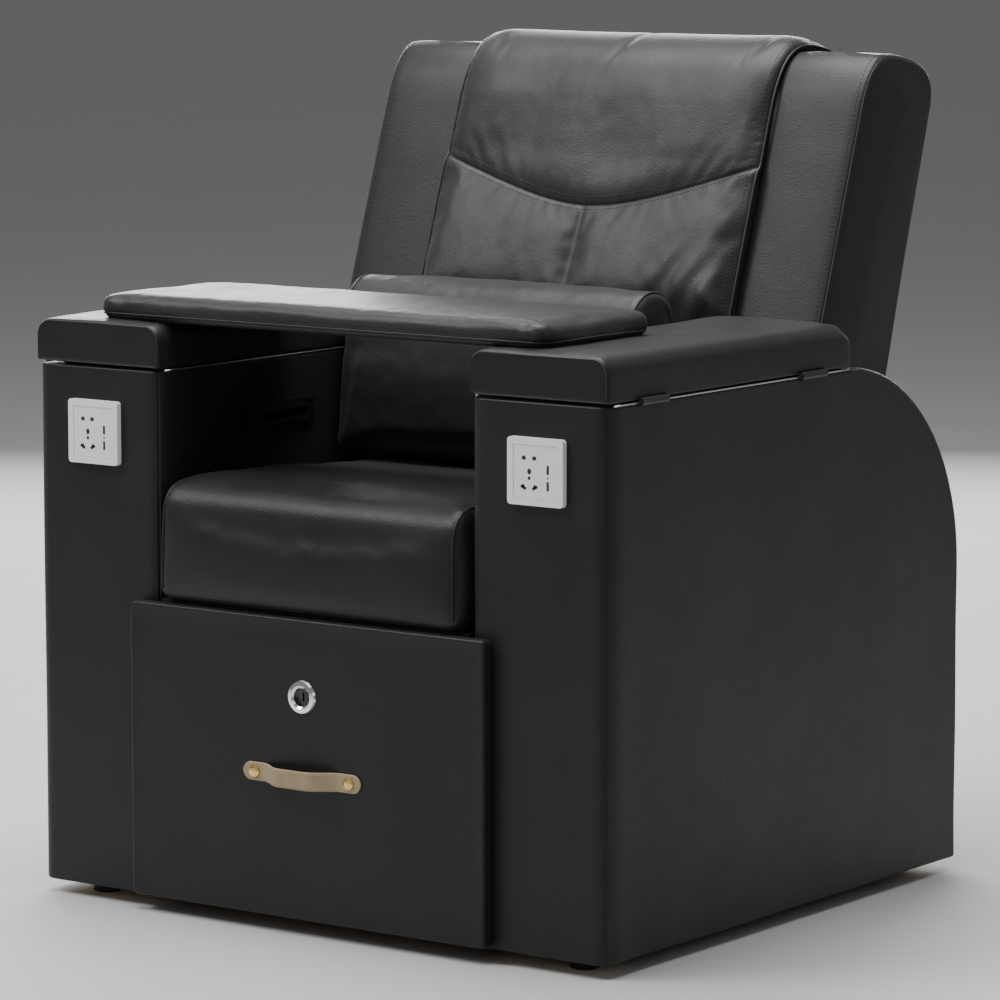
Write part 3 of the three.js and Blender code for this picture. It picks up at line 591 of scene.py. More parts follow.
def resample(line, pitch):
    """The polyline with points an even pitch apart, in metres."""
    steps = np.linalg.norm(np.diff(line, axis=0), axis=1)
    run = np.concatenate([[0], np.cumsum(steps)])
    count = max(2, int(run[-1] / pitch) + 1)
    at = np.linspace(0, run[-1], count)
    return np.stack([np.interp(at, run, line[:, k]) for k in range(3)], 1)


def tube(name, line, radius, material, sides=8, closed=False):
    """A welt or cord of round section along a polyline in metres."""
    count = len(line)
    tangent = (np.roll(line, -1, 0) - np.roll(line, 1, 0)) if closed else np.gradient(line, axis=0)
    tangent /= np.linalg.norm(tangent, axis=1)[:, None] + 1e-12
    up = np.cross(tangent[0], (0.31, 0.17, 0.93))
    points, faces = [], ring_faces(count, sides, closed)
    for k in range(count):
        up = up - tangent[k] * float(up @ tangent[k])
        up /= np.linalg.norm(up)
        side = np.cross(tangent[k], up)
        for s in range(sides):
            t = 2 * math.pi * s / sides
            points.append(line[k] + (up * math.cos(t) + side * math.sin(t)) * radius / 1000.0)
    if not closed:
        faces += end_faces(count, sides)
    return mesh_object(name, drawn(points), faces, material)


def stitches(name, base, line, material, pitch=6.0, length=4.2, thick=0.55):
    """A row of thread stitches laid on base along the polyline; sizes in millimetres."""
    landed, facing = drop_on(base, resample(np.asarray(line), pitch / 1000.0), 0.15)
    points, faces = [], []
    tangent = np.gradient(landed, axis=0)
    rings, sides = [(-0.5, 0.35), (-0.34, 0.9), (0.34, 0.9), (0.5, 0.35)], 6
    for p, n, t in zip(landed, facing, tangent):
        t = t / (np.linalg.norm(t) + 1e-12)
        side = np.cross(t, n)
        start = len(points)
        for at, fat in rings:
            sink = -0.5 * thick if fat < 0.5 else 0.0
            for s in range(sides):
                a = math.pi * s / 3
                around = (side * math.cos(a) + n * math.sin(a)) * thick * fat
                points.append(p + (t * at * length + around + n * sink) / 1000.0)
        faces += ring_faces(len(rings), sides, False, start)
        faces += [face[::-1] for face in end_faces(len(rings), sides, start)]
    return mesh_object(name, drawn(points), faces, material)


def seam_line(name, base, line, body, radius, lift, closed=False):
    """A seam seen as the fine dark line where two panels meet, laid along the polyline on base."""
    landed, _ = drop_on(base, line, lift)
    if not closed:
        landed = smooth_line(landed)
    cover(tube(name, landed, radius, THREAD, 8, closed), body)


def welt(name, base, line, radius, material, body):
    """An open piping cord laid along the polyline on base."""
    landed, _ = drop_on(base, line, 0.4)
    cover(tube(name, smooth_line(landed), radius, material), body)


def smooth_line(line):
    """Smooths the polyline in place, its ends kept."""
    for _ in range(3):
        line[1:-1] = (line[:-2] + 2 * line[1:-1] + line[2:]) / 4
    return line


def inflate(obj, pressure, frames, cap, pins, slack, bend, stiff=15.0):
    """Fills obj like a stuffed cover: cloth under pressure, no gravity, each move capped in mm."""
    start = coords(obj)
    group = obj.vertex_groups.new(name="pins")
    for i, w in enumerate(pins):
        if w > 0.01:
            group.add([i], float(w), "REPLACE")
    modifier = obj.modifiers.new("fill", "CLOTH")
    cloth_set = modifier.settings
    cloth_set.quality = 5
    cloth_set.mass = 0.3
    cloth_set.tension_stiffness = cloth_set.compression_stiffness = stiff
    cloth_set.shear_stiffness = 5.0
    cloth_set.bending_stiffness = bend
    cloth_set.use_pressure = True
    cloth_set.uniform_pressure_force = pressure
    cloth_set.shrink_min = -slack
    cloth_set.effector_weights.gravity = 0.0
    cloth_set.vertex_group_mass = "pins"
    modifier.point_cache.frame_start = 1
    modifier.point_cache.frame_end = frames
    for f in range(1, frames + 1):
        SCENE.frame_set(f)
    graph = bpy.context.evaluated_depsgraph_get()
    result = np.array([v.co[:] for v in obj.evaluated_get(graph).data.vertices])
    obj.modifiers.remove(modifier)
    obj.vertex_groups.clear()
    SCENE.frame_set(1)
    move = result - start
    size = np.linalg.norm(move, axis=1)
    limit = cap / 1000.0
    move *= (limit * np.tanh(size / limit) / (size + 1e-12))[:, None]
    set_coords(obj, start + move)


def line_of(place, points):
    return metres([place(*p) for p in points])


def cover(obj, body, *replaced, slot="black_leather", fill=None):
    """Rides obj on a body and hides the CAD nodes that it replaces; slot and fill are not used."""
    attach(obj, body)
    if replaced:
        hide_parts(*replaced)


MAT = materials()
LEATHER = MAT["black_leather"]
SOFT = MAT["pad_leather"]
THREAD = MAT["thread"]
LINING = MAT["lining"]


# ---- arms ----

def arm_outline(inset=0.0, front=0.0, bottom=ARM_BOTTOM, top=ARM_TOP, corner=3.0):
    """The arm's side view: straight in front, an arc about the recline axis behind."""
    radius = ARM_ARC - inset
    last = math.asin(min(1.0, (top - PIVOT_Z) / radius))
    return fillet([(front, bottom, corner), (PIVOT_Y + radius, bottom, corner + 2)]
                  + arc_points(PIVOT_Y, PIVOT_Z, radius, 0.0, last, 18) + [(front, top, corner)], 14.0)


def round_plan(obj, x0, x1, front, radius):
    """Draws the square vertical corners at the front in to a quarter round."""
    at = coords(obj)
    x, y = at[:, 0] * 1000, at[:, 1] * 1000 + DATUM_Y
    for side, centre in ((-1, x0 + radius), (1, x1 - radius)):
        dx, dy = x - centre, y - (front + radius)
        corner = (dx * side > 0) & (dy < 0)
        reach = np.maximum(np.abs(dx), np.abs(dy))
        size = np.hypot(dx, dy) + 1e-9
        x = np.where(corner, centre + dx / size * reach, x)
        y = np.where(corner, front + radius + dy / size * reach, y)
    at[:, 0], at[:, 1] = x / 1000.0, (y - DATUM_Y) / 1000.0
    set_coords(obj, at)


def hinge_notches(z0, z1):
    return [brick("notch", 466.8, 480, y - 31, y + 31, z0, z1, LEATHER) for y in HINGES_Y]


def arm(side, sign):
    """A hollow arm cover, drawn right-handed: storage well, sockets' room and open underside."""
    wall = 18.0

    def edge(a, b):
        return 7.0 if a > 590 and b > ARM_BOTTOM + 20 else 4.0

    body = loft(f"{side}_arm_cover", arm_outline(), ARM_IN, ARM_OUT, edge, along_x, LEATHER, 18.0,
                near=(2, 5, 9, 14, 20))
    body.data.materials.append(LINING)
    round_plan(body, ARM_IN, ARM_OUT, 0.0, 19.0)
    inner, outer = ARM_IN + wall, ARM_OUT - wall

    def calm(at):
        x, y, z = at[:, 0] * 1000, at[:, 1] * 1000 + DATUM_Y, at[:, 2] * 1000
        side_face = (x > ARM_OUT - 30) * rise(y, 60) * rise(ARM_TOP - z, 60)
        front_face = (y < 30) * rise(x - 300, 30) * 0.35
        return np.maximum(side_face, front_face)

    undulate(body, 1.6, 5.0, 4.0 * sign, calm)
    half = 38.5
    cutters = [
        brick("well", inner, outer, 84, 546, 430, 760, LINING),
        brick("room", inner, outer, 18, 66, 407, 706, LINING),
        brick("under", inner, outer, 18, 837, 5, 412, LINING),
        loft("rear", arm_outline(wall, 564.0, 407.0, 710.0, 0.0), inner, outer, 0.01, along_x,
             LINING, 400.0, 1, 60.0),
        brick("socket", SOCKET_X - half, SOCKET_X + half, -30, 40, SOCKET_Z - half, SOCKET_Z + half,
              LINING),
    ]
    cutters += hinge_notches(723.8, 740)
    if sign < 0:
        cutters.append(brick("bezel_hole", ARM_IN - 10, inner + 5, 171, 326, 633, 664, LINING))
    carve(body, cutters)
    if sign < 0:
        mirror(body)
    cover(body, "base", f"{side}_arm_carcass")

    # painted highlight: light zinc strips on the rim under the lid, along both long sides, stand in
    # for the light caught by the rim's rounded edge
    for label, x in (("outer", ARM_OUT - 1.2), ("inner", ARM_IN + 1.2)):
        run = metres([(sign * x, y, ARM_TOP + 0.5) for y in np.linspace(14, 566, 24)])
        cover(tube(f"{side}_arm_{label}_rim_highlight", run, 1.25, MAT["zinc_steel"]), "base",
              slot="zinc_steel")
    x = sign * (ARM_OUT - 9)
    arc = [(x, a, b) for a, b, _ in arc_points(PIVOT_Y, PIVOT_Z, ARM_ARC - 1, 1.42, 0.0, 40)] \
        + [(x, ARM_DEPTH, z) for z in (300, 160, 30)]
    cover(stitches(f"{side}_arm_rear_thread", body, metres(arc), THREAD, 7.0), "base")
    batten(side, sign, inner, outer)


def batten(side, sign, inner, outer):
    """Cross battens low in the arm, which carry its feet."""
    a, b = sorted((sign * inner, sign * outer))
    for end, y in (("front", 54.0), ("rear", 801.0)):
        rail = brick(f"{side}_{end}_batten", a + 0.2, b - 0.2, y - 36, y + 36, 18, 38, MAT["plywood"])
        cover(rail, "base", slot="plywood")


# ---- lids and board ----

def lid(side, sign):
    """A padded lid, drawn right-handed, that rolls down at the rear."""
    x0, x1, low, high, depth, shoulder = 256.6, 470.4, 731.6, 789.5, 570.0, 745
    outline = rectangle(x0, x1, low, high, (3, 3, 22, 22), 8.0)
    body = loft(f"{side}_lid_cover", outline, 0, depth, 5.0, along_y, LEATHER, 12.0, 4, 9.0)
    at = coords(body)
    y, z = at[:, 1] * 1000 + DATUM_Y, at[:, 2] * 1000
    rear = 26.0
    past = np.clip(y - (depth - rear), 0, rear)
    drop = rear - np.sqrt(np.maximum(rear ** 2 - past ** 2, 0.0))
    share = rise(z - shoulder, high - shoulder)
    crown = 3.2 * np.sin(np.pi * rise(at[:, 0] * 1000 - x0, x1 - x0)) * (z > high - 4)
    crown = crown * rise(y, 30) * rise(depth - y, 40)
    at[:, 2] += (crown - drop * share) / 1000.0
    set_coords(body, at)

    def top_only(points):
        return rise(points[:, 2] * 1000 - 760, 25)

    undulate(body, 1.8, 9.0, 7.0 + sign, top_only)
    undulate(body, 0.7, 34.0, 2.0 + sign, top_only)
    carve(body, hinge_notches(724, 736.5))
    body.data.materials.append(LINING)
    if sign < 0:
        mirror(body)
    underside = 0.7325
    for face in body.data.polygons:
        if face.normal.z < -0.9 and face.center.z < underside:
            face.material_index = 1
    rider = f"{side}_lid"
    cover(body, rider, f"{side}_lid_board", f"{side}_lid_pad", fill=0.9)
    arch = rectangle(x0 + 3, x1 - 3, low + 2, high - 3, (0, 0, 20, 20), 8.0)
    for end, y in (("front", 1.2), ("rear", depth - 1.6)):
        loop = np.array([(sign * a, y, b) for a, b in arch], float)
        if end == "rear":
            loop[:, 2] -= 21.0 * rise(loop[:, 2] - shoulder, high - shoulder)
        seam_line(f"{side}_lid_{end}_seam", body, metres(loop), rider, 0.95, 0.1, True)


def board():
    """The loose board's padded cover, filled, with a welt round its lower edge."""
    x0, x1, y0, y1 = -384.5, 356.5, 22.0, 269.0
    low, high, welt_z = 790.0, 825.0, 799.0
    body = loft("board_cover", rectangle(x0, x1, y0, y1, (22, 22, 18, 22), 10.0),
                low, high - 2.5, 12.0, along_z, SOFT, 8.0, 5, 18.0)
    remesh(body, 5.0, 4)
    pins = rise(low + 5 - coords(body)[:, 2] * 1000, 3)
    inflate(body, 3.0, 16, 4.0, pins, 0.0, 3.0)
    smooth(body, 4)
    subdivide(body)

    def top_only(points):
        return rise(points[:, 2] * 1000 - 812, 8)

    undulate(body, 1.2, 14.0, 11.0, top_only)
    undulate(body, 0.5, 46.0, 5.0, top_only)
    seam = rectangle(x0 + 3, x1 - 3, y0 + 3, y1 - 3, (22, 22, 22, 22), 9.0)
    ring = metres([(a, b, welt_z) for a, b in [*seam, seam[0]]])
    press_seam(body, ring, 1.4, 3.0, 0.35, 3.0)
    cover(body, "board", "board_core", "board_pad", fill=0.7)
    line = drop_on(body, ring[:-1], 0.3)[0]
    cover(tube("board_welt", line, 1.5, SOFT, 8, True), "board")


# ---- seat ----

def seat():
    """The seat cushion's filled cover, kept between the arms and on its deck."""
    front, back, low, high, half = -17.0, 470.0, 424.5, 586.0, 251.5
    between_arms, deck = 0.2535, 0.4245
    outline = fillet([(front, low, 16), (back, low, 10), (back, high - 20, 14),
                      (front + 190, high, 200), (front, high + 1, 42)], 12.0, 8)
    body = loft("seat_cover", outline, -half, half, 15.0, along_x, LEATHER, 14.0, 4, 16.0)
    remesh(body, 7.0, 3)
    pins = rise(low + 12 - coords(body)[:, 2] * 1000, 8)
    inflate(body, 3.2, 18, 6.0, pins, 0.0, 4.0)
    smooth(body, 6)
    at = coords(body)
    at[:, 0] = np.clip(at[:, 0], -between_arms, between_arms)
    at[:, 2] = np.maximum(at[:, 2], deck)
    set_coords(body, at)
    subdivide(body)
    undulate(body, 2.0, 7.0, 17.0, lambda p: rise(p[:, 2] * 1000 - 470, 60))
    path = outline_run(outline, low + 14, 420)
    for label, sign in SIDES.items():
        line = metres([(sign * (half - 10), y, z) for y, z in path])
        press_seam(body, line, 1.6, 3.5, 0.3, sign)
        welt(f"seat_{label}_welt", body, line, 2.0, LEATHER, "base")
    cover(body, "base", "seat_cushion", fill=0.8)


def outline_run(outline, low, back_limit):
    """The part of a (y, z) outline from low in front over the top to back_limit."""
    nose = 45
    pts = [tuple(p) for p in outline if p[1] >= low and p[0] < back_limit]
    front = sorted([p for p in pts if p[0] < nose], key=lambda p: p[1])
    top = sorted([p for p in pts if p[0] >= nose and p[1] > low + 60], key=lambda p: p[0])
    return front + top


# ---- backrest ----

def head_points(count=10):
    """From the front's top edge over the head to the back's top edge, in (back, up)."""
    def bezier(p, t):
        q = np.array(p, float)
        while len(q) > 1:
            q = q[:-1] * (1 - t) + q[1:] * t
        return tuple(q[0])

    spans = [[(BACK_FRONT, HEAD_FROM), (BACK_FRONT, 708), (-52, 741), (-2, 746)],
             [(-2, 746), (32, 752), (58, 751)],
             [(58, 751), (99, 748), (HEAD_BACK, HEAD_TO)]]
    made = []
    for span in spans:
        made += [bezier(span, t) for t in np.linspace(0, 1, count)[:-1]]
    return made + [(HEAD_BACK, HEAD_TO)]


def rear_at(v):
    """How far back the rear face stands at height v: it slopes from 117 to 101."""
    return 117.0 + (101.0 - 117.0) / (715.0 - 285.0) * (v - 285.0)


def backrest():
    """The wide back with its hollow for the crank, the narrow part below, and the rear cover."""
    start, end = math.acos(BACK_FRONT / FOOT_ARC), math.acos(117.0 / FOOT_ARC)
    foot = arc_points(0.0, 0.0, FOOT_ARC, start, end, 14)
    head = [(a, b, 0) for a, b in head_points()][::-1]
    outline = fillet(foot + head, 12.0)
    body = loft("backrest_cover", outline, -BACK_HALF, BACK_HALF, 8.0, on_back, LEATHER, 14.0, 5, 16.0)
    x, u, v = to_back(coords(body)).T
    wing_in, wing_out = 262, 404
    wing = (np.abs(x) > wing_in) & (np.abs(x) < wing_out)
    puff = np.sin(np.pi * rise(np.abs(x) - wing_in, wing_out - wing_in)) ** 0.6
    swell(body, 5.0 * puff * wing * (u < -40) * (v > 300))
    mid = np.clip(1 - np.abs(u - 18) / 80, 0, 1) * rise(v - 300, 60) \
        * rise(735 - v, 40)
    swell(body, 5.0 * (np.abs(x) > 403) * mid ** 0.7)
    undulate(body, 2.0, 6.0, 23.0)
    path = [(BACK_FRONT, v) for v in np.linspace(320, 642, 30)] + head_points() \
        + [(rear_at(v), v) for v in np.linspace(692, 320, 30)]
    for label, sign in SIDES.items():
        edge = line_of(on_back, [(sign * (BACK_HALF - 1.5), a, b) for a, b in path])
        press_seam(body, edge, 0.9, 4.0, 0.3, sign)
        inner = line_of(on_back, [(sign * (BACK_HALF - 13), a, b) for a, b in path])
        cover(stitches(f"backrest_{label}_thread", body, inner, THREAD, 6.5), "backrest")
        seam_line(f"backrest_{label}_seam", body, resample(edge, 0.008), "backrest", 1.1, -0.2)
    carve(body, [brick("crank", -34, 34, 548, 700, 420, 520, LINING)])
    cover(body, "backrest", "back_core", fill=0.85)
    low = fillet([(BACK_FRONT, 28, 12), (rear_at(28), 28, 12), (rear_at(330), 320, 0),
                  (BACK_FRONT, 320, 0)], 14.0)
    core = loft("backrest_lower_cover", low, -238, 238, 8.0, on_back, LEATHER, 20.0, 3, 20.0)
    room = [on_back(x, a, b) for x in (-32, 32) for a in (-8, 140) for b in (0, 92)]
    carve(core, [mesh_object("crank_room", room, BOX_FACES, LINING)])
    cover(core, "backrest", fill=0.8)
    rear_cover()


def swell(obj, amount):
    """Moves the surface out along its normals, in millimetres."""
    set_coords(obj, coords(obj) + normals(obj) * (amount / 1000.0)[:, None])


def to_back(at):
    """Frame metres to backrest millimetres (x, back, up)."""
    c, s = math.cos(LEAN), math.sin(LEAN)
    y, z = at[:, 1] * 1000 + DATUM_Y - PIVOT_Y, at[:, 2] * 1000 - PIVOT_Z
    return np.stack([at[:, 0] * 1000, y * c - z * s, y * s + z * c], 1)


def rear_cover():
    """The thin upholstered panel on the rear face, wide above the arms and narrow between them."""
    thick = 4.6
    shape = fillet([(-230, 72, 10), (230, 72, 10), (230, 300, 10), (392, 300, 16), (392, 688, 26),
                    (-392, 688, 26), (-392, 300, 16), (-230, 300, 10)], 16.0)

    def place(t, a, b):
        return on_back(a, rear_at(b) + 0.9 + t, b)

    body = loft("rear_cover", shape, 0.0, thick, 2.0, place, LEATHER, 6.0, 3, 20.0)
    edge = line_of(place, [(thick, a * 0.985, b + (3 if b < 200 else -6)) for a, b in shape])
    cover(stitches("rear_cover_thread", body, np.vstack([edge, edge[:1]]), THREAD, 7.0), "backrest")
    cover(body, "backrest", "back_rear_cover", fill=0.9)


def lumbar():
    """The cushion for the small of the back: a roll on top of a flat panel."""
    roll_y, roll_z, roll_r, half = -225.0, 292.0, 54.0, 246.0
    rear = BACK_FRONT - 1.5
    top = [(rear, 296, 6), (-120, 299, 30), (-172, 306, 8)]
    roll = arc_points(roll_y, roll_z, roll_r, 0.42, math.pi + 0.25, 14)
    panel = [(-262, 190, 60), (-238, 90, 8), (-224, 86, 6)]
    outline = fillet([(rear, 142, 8)] + top + roll + panel, 9.0)
    body = loft("lumbar_cover", outline, -half, half, 7.0, on_back, SOFT, 12.0, 3, 14.0)
    remesh(body, 6.0, 2)
    back = to_back(coords(body))
    pins = rise(back[:, 1] - (rear - 16), 8)
    inflate(body, 3.0, 16, 5.0, pins, 0.002, 2.0)
    smooth(body, 3)
    subdivide(body)
    undulate(body, 1.6, 12.0, 31.0)
    undulate(body, 0.7, 40.0, 33.0)
    crease = line_of(on_back, [(x, -174, 304) for x in np.linspace(-half, half, 60)])
    press_seam(body, crease, 3.5, 5.0, 1.0, 9.0)
    ends = arc_points(roll_y, roll_z, roll_r, 0.35, 2 * math.pi - 1.9, 40)
    for label, sign in SIDES.items():
        ring = line_of(on_back, [(sign * (half - 5), a, b) for a, b, _ in ends])
        welt(f"lumbar_{label}_welt", body, ring, 2.1, SOFT, "backrest")
    cover(body, "backrest", "lumbar_cushion", fill=0.75)


# ---- pad over the backrest ----

def seam_height(x):
    """The seam across the pad: a wide shallow curve, lowest in the middle."""
    return 489.0 + 0.38 * (np.sqrt(x ** 2 + 110.0 ** 2) - 110.0)


def pad_grid():
    """Columns of (back, up) up the front and over the head, all with a row on the seam, and the
    rows' outward normals."""
    xs = np.concatenate([np.linspace(-PAD_HALF, SEAM_X, 39), np.linspace(SEAM_X, PAD_HALF, 40)[1:]])
    tail = [(rear_at(v), v) for v in np.linspace(692, 562, 18)]
    head = np.array(head_points(9)[1:] + tail)
    lines = []
    for x in xs:
        seam = float(seam_height(x))
        low, high = seam - PAD_FOOT, HEAD_FROM - seam
        shares = list(np.linspace(0, 1 - 6 / low, SEAM_ROWS - 2)) + [1 - 2.2 / low, 1.0]
        above = [2.2 / high, 6 / high] + list(np.linspace(12 / high, 1, 24))
        front = [PAD_FOOT + low * p for p in shares] + [seam + high * q for q in above]
        lines.append(np.vstack([[(BACK_FRONT, v) for v in front], head]))
    along = np.gradient(lines[0], axis=0)
    along /= np.linalg.norm(along, axis=1)[:, None]
    return xs, lines, np.stack([-along[:, 1], along[:, 0]], 1)


def pad():
    """The thin pad that hangs over the head of the backrest, sewn into three panels in front."""
    xs, lines, out = pad_grid()
    rows, columns = len(lines[0]), len(xs)
    seam_row, seam_column = SEAM_ROWS - 1, int(np.argmin(np.abs(xs - SEAM_X)))
    run = np.concatenate([[0], np.cumsum(np.linalg.norm(np.diff(lines[0], axis=0), axis=1))])
    front_full, rear_full = 19.0, 7.0
    inner, outer = [], []
    for k in range(rows):
        for c, x in enumerate(xs):
            u, v = lines[c][k]
            behind = rise(u - 10, 87)
            behind = behind * behind * (3 - 2 * behind)
            clear = 0.8 + 5.2 * behind
            front = u < -20
            low = front and k <= seam_row
            gap = min(run[k], run[-1] - run[k])
            ends = rise(gap, 22) ** 0.5
            side = rise(PAD_HALF - abs(x), 30) ** 0.5
            foot = 18.0 * rise(560 - v, 200) * front \
                * rise(258 - abs(x), 10) * rise(v - 330, 24)
            full = front_full * (1 - behind) + rear_full * behind
            full = full * ((0.78 + 0.22 * side) if low else (0.45 + 0.55 * side))
            depth = max(2.5, (full + foot) * (0.35 + 0.65 * ends))
            from_row = abs(k - seam_row)
            on_centre = low and c == seam_column
            depth -= (4.2, 1.6, 0.3)[from_row] if from_row < 3 else 0.0
            depth -= 3.4 if on_centre and from_row else 0.0
            base = lines[c][k] + out[k] * clear
            inner.append(on_back(x, *base))
            outer.append(on_back(x, *(base + out[k] * depth)))
    count = rows * columns
    faces = []
    for k in range(rows - 1):
        for c in range(columns - 1):
            a = k * columns + c
            quad = (a, a + 1, a + columns + 1, a + columns)
            faces += [quad, tuple(i + count for i in quad[::-1])]
    rim = list(range(columns)) + [k * columns + columns - 1 for k in range(1, rows)] \
        + [(rows - 1) * columns + c for c in range(columns - 2, -1, -1)] \
        + [k * columns for k in range(rows - 2, 0, -1)]
    faces += [(a, a + count, b + count, b) for a, b in zip(rim, rim[1:] + rim[:1])]
    body = mesh_object("pad_cover", outer + inner, faces, SOFT)
    grid = metres(np.array(outer)).reshape(rows, columns, 3)
    pins = np.zeros((rows, columns))
    pins[seam_row - 1:seam_row + 2] = 1.0
    pins[:seam_row, seam_column] = 1.0
    pins[:, :1] = pins[:, -1:] = pins[:1] = pins[-1:] = 1.0
    spots = KDTree(count)
    for i, p in enumerate(grid.reshape(-1, 3)):
        spots.insert(p, i)
    spots.balance()
    weight = np.ones(len(body.data.vertices))
    for i, p in enumerate(coords(body)):
        _, near, gap = spots.find(p)
        if gap < 1e-6:
            weight[i] = pins[near // columns, near % columns]
    inflate(body, 3.0, 24, 8.0, weight, 0.008, 0.8, 12.0)
    subdivide(body)
    wrinkle_pad(body)
    seam_line("pad_y_seam", body, grid[seam_row], "backrest", 0.8, -0.5)
    seam_line("pad_centre_seam", body, grid[:seam_row, seam_column], "backrest", 0.8, -0.5)
    thread_rows(body, grid, seam_row)
    cover(body, "backrest", "back_pad", fill=0.6)


def thread_rows(body, grid, seam_row):
    """Rows of thread beside the pad's seam and inside its side edges, and the side edges' welts."""
    columns = grid.shape[1]
    for tag, row in (("upper", seam_row + 3), ("lower", seam_row - 2)):
        line = resample(grid[row, 2:columns - 2], 0.006)
        cover(stitches(f"pad_seam_{tag}_thread", body, line, THREAD), "backrest")
    for side, sign in SIDES.items():
        edge = 0 if sign < 0 else columns - 1
        inset = grid[2:-2, edge - 2 * sign] * 0.65 + grid[2:-2, edge - sign] * 0.35
        line = smooth_line(inset)
        press_seam(body, grid[:, edge], 0.3, 4.0, 1.1, 5.0 + sign)
        cover(stitches(f"pad_{side}_thread", body, line, THREAD), "backrest")
        cord = smooth_line(grid[:, edge].copy())
        cover(tube(f"pad_{side}_welt", cord, 1.9, SOFT), "backrest")


def wrinkle_pad(body):
    """Soft folds in the hide: slanting ones low at the right, long faint ones above the seam."""
    x, u, v = to_back(coords(body)).T
    front = rise(-40 - u, 20)
    seam = seam_height(x)
    upper = rise(v - seam - 12, 50) * rise(735 - v, 60)
    lower = rise(seam - 14 - v, 40)
    slant = x * 0.86 - v * 0.50
    right = rise(x - 110, 60) * rise(258 - x, 14) \
        * rise(455 - v, 60)
    folds = 1.5 * np.sin(slant * 2 * math.pi / 41.0) * right * lower
    drift = 1.3 * np.sin((x * 0.8 - v * 0.42) * 2 * math.pi / 150.0 + 0.7) * upper
    rough = np.array([noise.noise(Vector((a * 0.012, b * 0.007, 2.0))) * 2.4
                      + noise.noise(Vector((a * 0.05, b * 0.035, 4.0))) * 0.5 for a, b in zip(x, v)])
    swell(body, (folds + drift + rough * np.maximum(upper, lower)) * front)


# ---- drawer ----

def drawer():
    """The upholstered drawer front, with a hole for the lock, and its strap."""
    face = -20.0
    outline = rectangle(-293.5, 293.5, 21, 421, (7, 7, 7, 7), 14.0, 4)
    body = loft("drawer_front_cover", outline, face, -1.5, 4.2, along_y, LEATHER, 6.0, 4, 18.0)

    def middle(p):
        x, z = np.abs(p[:, 0]) * 1000, np.abs(p[:, 2] * 1000 - 221)
        return rise(285 - x, 60) * rise(192 - z, 60) * (p[:, 1] < -0.44)

    undulate(body, 1.2, 6.0, 41.0, middle)
    axis = np.array([(0, y, LOCK_Z / 1000) for y in (-0.475, -0.40)])
    carve(body, [tube("hole", axis, 15.0, LINING, 32)])
    cover(body, "drawer", "drawer_front", fill=1.0)
    ring = rectangle(-287, 287, 27.5, 414.5, (6, 6, 6, 6), 12.0, 4)
    press_seam(body, metres([(a, face, b) for a, b in [*ring, ring[0]]]), 0.5, 2.0)
    strap()


def strap():
    """The leather pull: a rounded strip swept along its bow, with two rows of thread."""
    low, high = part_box("strap_handle")
    z_mid, half_high = (low.z + high.z) * 500, (high.z - low.z) * 500 - 0.4
    length, flat, bow, face, thick, nose = 195.0, 66.0, 22.0, -20.4, 2.3, 13

    def plan(t):
        """The strap's inner line: flat under the studs and bowed out between them."""
        x = -length / 2 + length * t
        if abs(x) >= flat:
            return x, face
        ease = min(1.0, (1 - abs(x) / flat) * 1.45)
        return x, face - bow * (0.5 - 0.5 * math.cos(math.pi * ease))

    steps, ring = 90, 14
    points, faces = [], ring_faces(steps + 1, ring) + end_faces(steps + 1, ring)
    for k in range(steps + 1):
        t = k / steps
        x, y = plan(t)
        x2, y2 = plan(min(1, t + 0.004))
        x1, y1 = plan(max(0, t - 0.004))
        nx, ny = (y2 - y1), -(x2 - x1)
        size = math.hypot(nx, ny) or 1.0
        nx, ny = nx / size, ny / size
        end = min(t, 1 - t) * length
        share = math.sqrt(max(0.0, 1 - ((nose - end) / nose) ** 2)) if end < nose else 1.0
        tall = max(half_high * share, 2.5)
        for s in range(ring):
            a = 2 * math.pi * s / ring
            across = math.copysign(abs(math.cos(a)) ** 0.35, math.cos(a)) * tall
            deep = (math.copysign(abs(math.sin(a)) ** 0.5, math.sin(a)) * 0.5 + 0.5) * thick
            points.append((x + nx * deep, y + ny * deep, z_mid + across))
    body = mesh_object("strap_cover", points, faces, MAT["strap_leather"])
    cover(body, "drawer", "strap_handle", slot="strap_leather")
    for shift, tag in ((9.3, "upper"), (-9.3, "lower")):
        spots = [plan(t) for t in np.linspace(0.07, 0.93, 90)]
        row = metres([(x, y - 6, z_mid + shift) for x, y in spots])
        cover(stitches(f"strap_{tag}_thread", body, row, MAT["tan_thread"], 4.6, 3.2, 0.4),
              "drawer", slot="strap_leather")


# ---- hardware kept from the frame ----

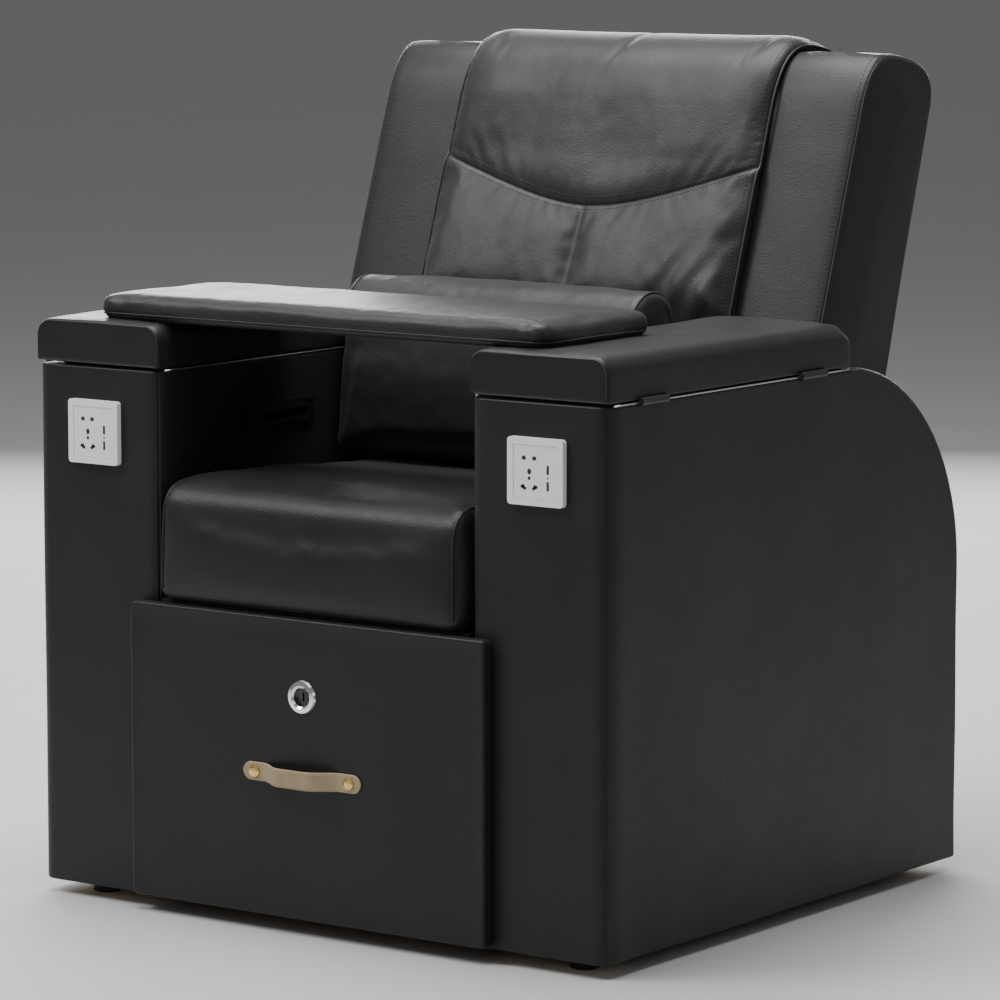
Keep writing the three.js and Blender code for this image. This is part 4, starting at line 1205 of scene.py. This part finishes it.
def hardware():
    """Materials and softened edges for the CAD pieces that stay visible."""
    finishes = {
        "plywood": ["drawer_box"],
        "dark_plywood": ["seat_deck", "front_rail"],
        "black_leather": ["rear_panel"],
        "zinc_steel": ["lock_strike"]
        + [f"{s}_{w}_runner" for s in SIDES for w in ("outer", "middle", "inner")],
        "black_steel": ["rear_cross_member", "backrest_frame", "gas_cylinder"]
        + [f"{s}_pivot_bracket" for s in SIDES]
        + [f"{s}_{e}_hinge_{h}_leaf" for s in SIDES for e in ("front", "rear")
           for h in ("fixed", "moving")],
        "chrome": ["gas_rod", "lock_housing"],
        "plug_painted_shade": ["lock_plug"],
        # painted shade: the lock plug gets near-black steel for the dark hollow inside the lock's ring
        "brass": [f"{s}_strap_stud" for s in SIDES],
        "socket_plastic": [f"{s}_socket_{w}" for s in SIDES for w in ("plate", "module")],
        "black_plastic": ["recline_bezel", "recline_paddle", "mains_inlet"],
        "cable_rubber": ["left_socket_cable", "right_socket_cable", "release_cable"],
        "foot_rubber": [f"{s}_{e}_foot" for s in SIDES for e in ("front", "back")],
    }
    softened = {"socket_plate": 1.6, "socket_module": 0.5, "bezel": 1.1, "paddle": 1.6, "stud": 0.7,
                "foot": 1.5, "bracket": 1.0, "runner": 0.5, "leaf": 0.35, "lock_housing": 0.4,
                "drawer_box": 1.0, "mains_inlet": 0.7, "cross_member": 1.5}
    for finish, names in finishes.items():
        for name in names:
            node = NODES[name]
            node.data.materials.clear()
            node.data.materials.append(MAT[finish])
            width = next((w for key, w in softened.items() if key in name), 0.0)
            if width:
                bevel = node.modifiers.new("edge", "BEVEL")
                bevel.width, bevel.segments, bevel.limit_method = width / 1000.0, 3, "ANGLE"
                bevel.angle_limit = math.radians(35)


def socket_hole_shades(side, sign):
    """Painted shade: black inserts at the bottoms of the outlet's shallow holes, standing in for the
    shade deep inside real holes.
    """
    points, faces = [], []

    def hole_shade(dx, dz, wide, tall, turn=0.0, sides=4):
        start = len(points)
        for depth in (0.0, 0.3):
            for s in range(sides):
                a = 2 * math.pi * (s + 0.5) / sides
                scale = math.sqrt(2) if sides == 4 else 1.0
                px, pz = wide * scale * math.cos(a), tall * scale * math.sin(a)
                qx = px * math.cos(turn) - pz * math.sin(turn)
                qz = px * math.sin(turn) + pz * math.cos(turn)
                points.append((sign * SOCKET_X + dx + qx, SOCKET_FACE_Y + depth, SOCKET_Z + dz + qz))
        faces.extend(end_faces(2, sides, start) + ring_faces(2, sides, False, start))

    for dx, dz, wide, tall in ((-17.6, 17.2, 3.4, 3.0), (-1.5, 17.2, 3.4, 3.0),
                               (-9.2, 0.3, 3.0, 4.0), (-9.2, -8.3, 2.2, 2.4), (19.4, -6.8, 1.3, 1.3)):
        hole_shade(dx, dz, wide, tall, 0.0, 16)
    for turn in (-0.5, 0.5):
        x = -9.4 + math.copysign(8.8, turn)
        hole_shade(x, -20.3, 4.4, 2.0, turn)
        hole_shade(x, -18.6, 1.9, 2.6, turn, 12)
    for dz in (3.9, -17.0):
        hole_shade(19.4, dz, 1.9, 5.9)
    made = mesh_object(f"{side}_socket_hole_shades", points, faces, MAT["black_plastic"])
    cover(made, "base", slot="black_plastic")


# ---- assembly ----

camera()
studio()
hardware()
for SIDE, SIGN in SIDES.items():
    arm(SIDE, SIGN)
    lid(SIDE, SIGN)
    socket_hole_shades(SIDE, SIGN)
board()
seat()
backrest()
lumbar()
pad()
drawer()
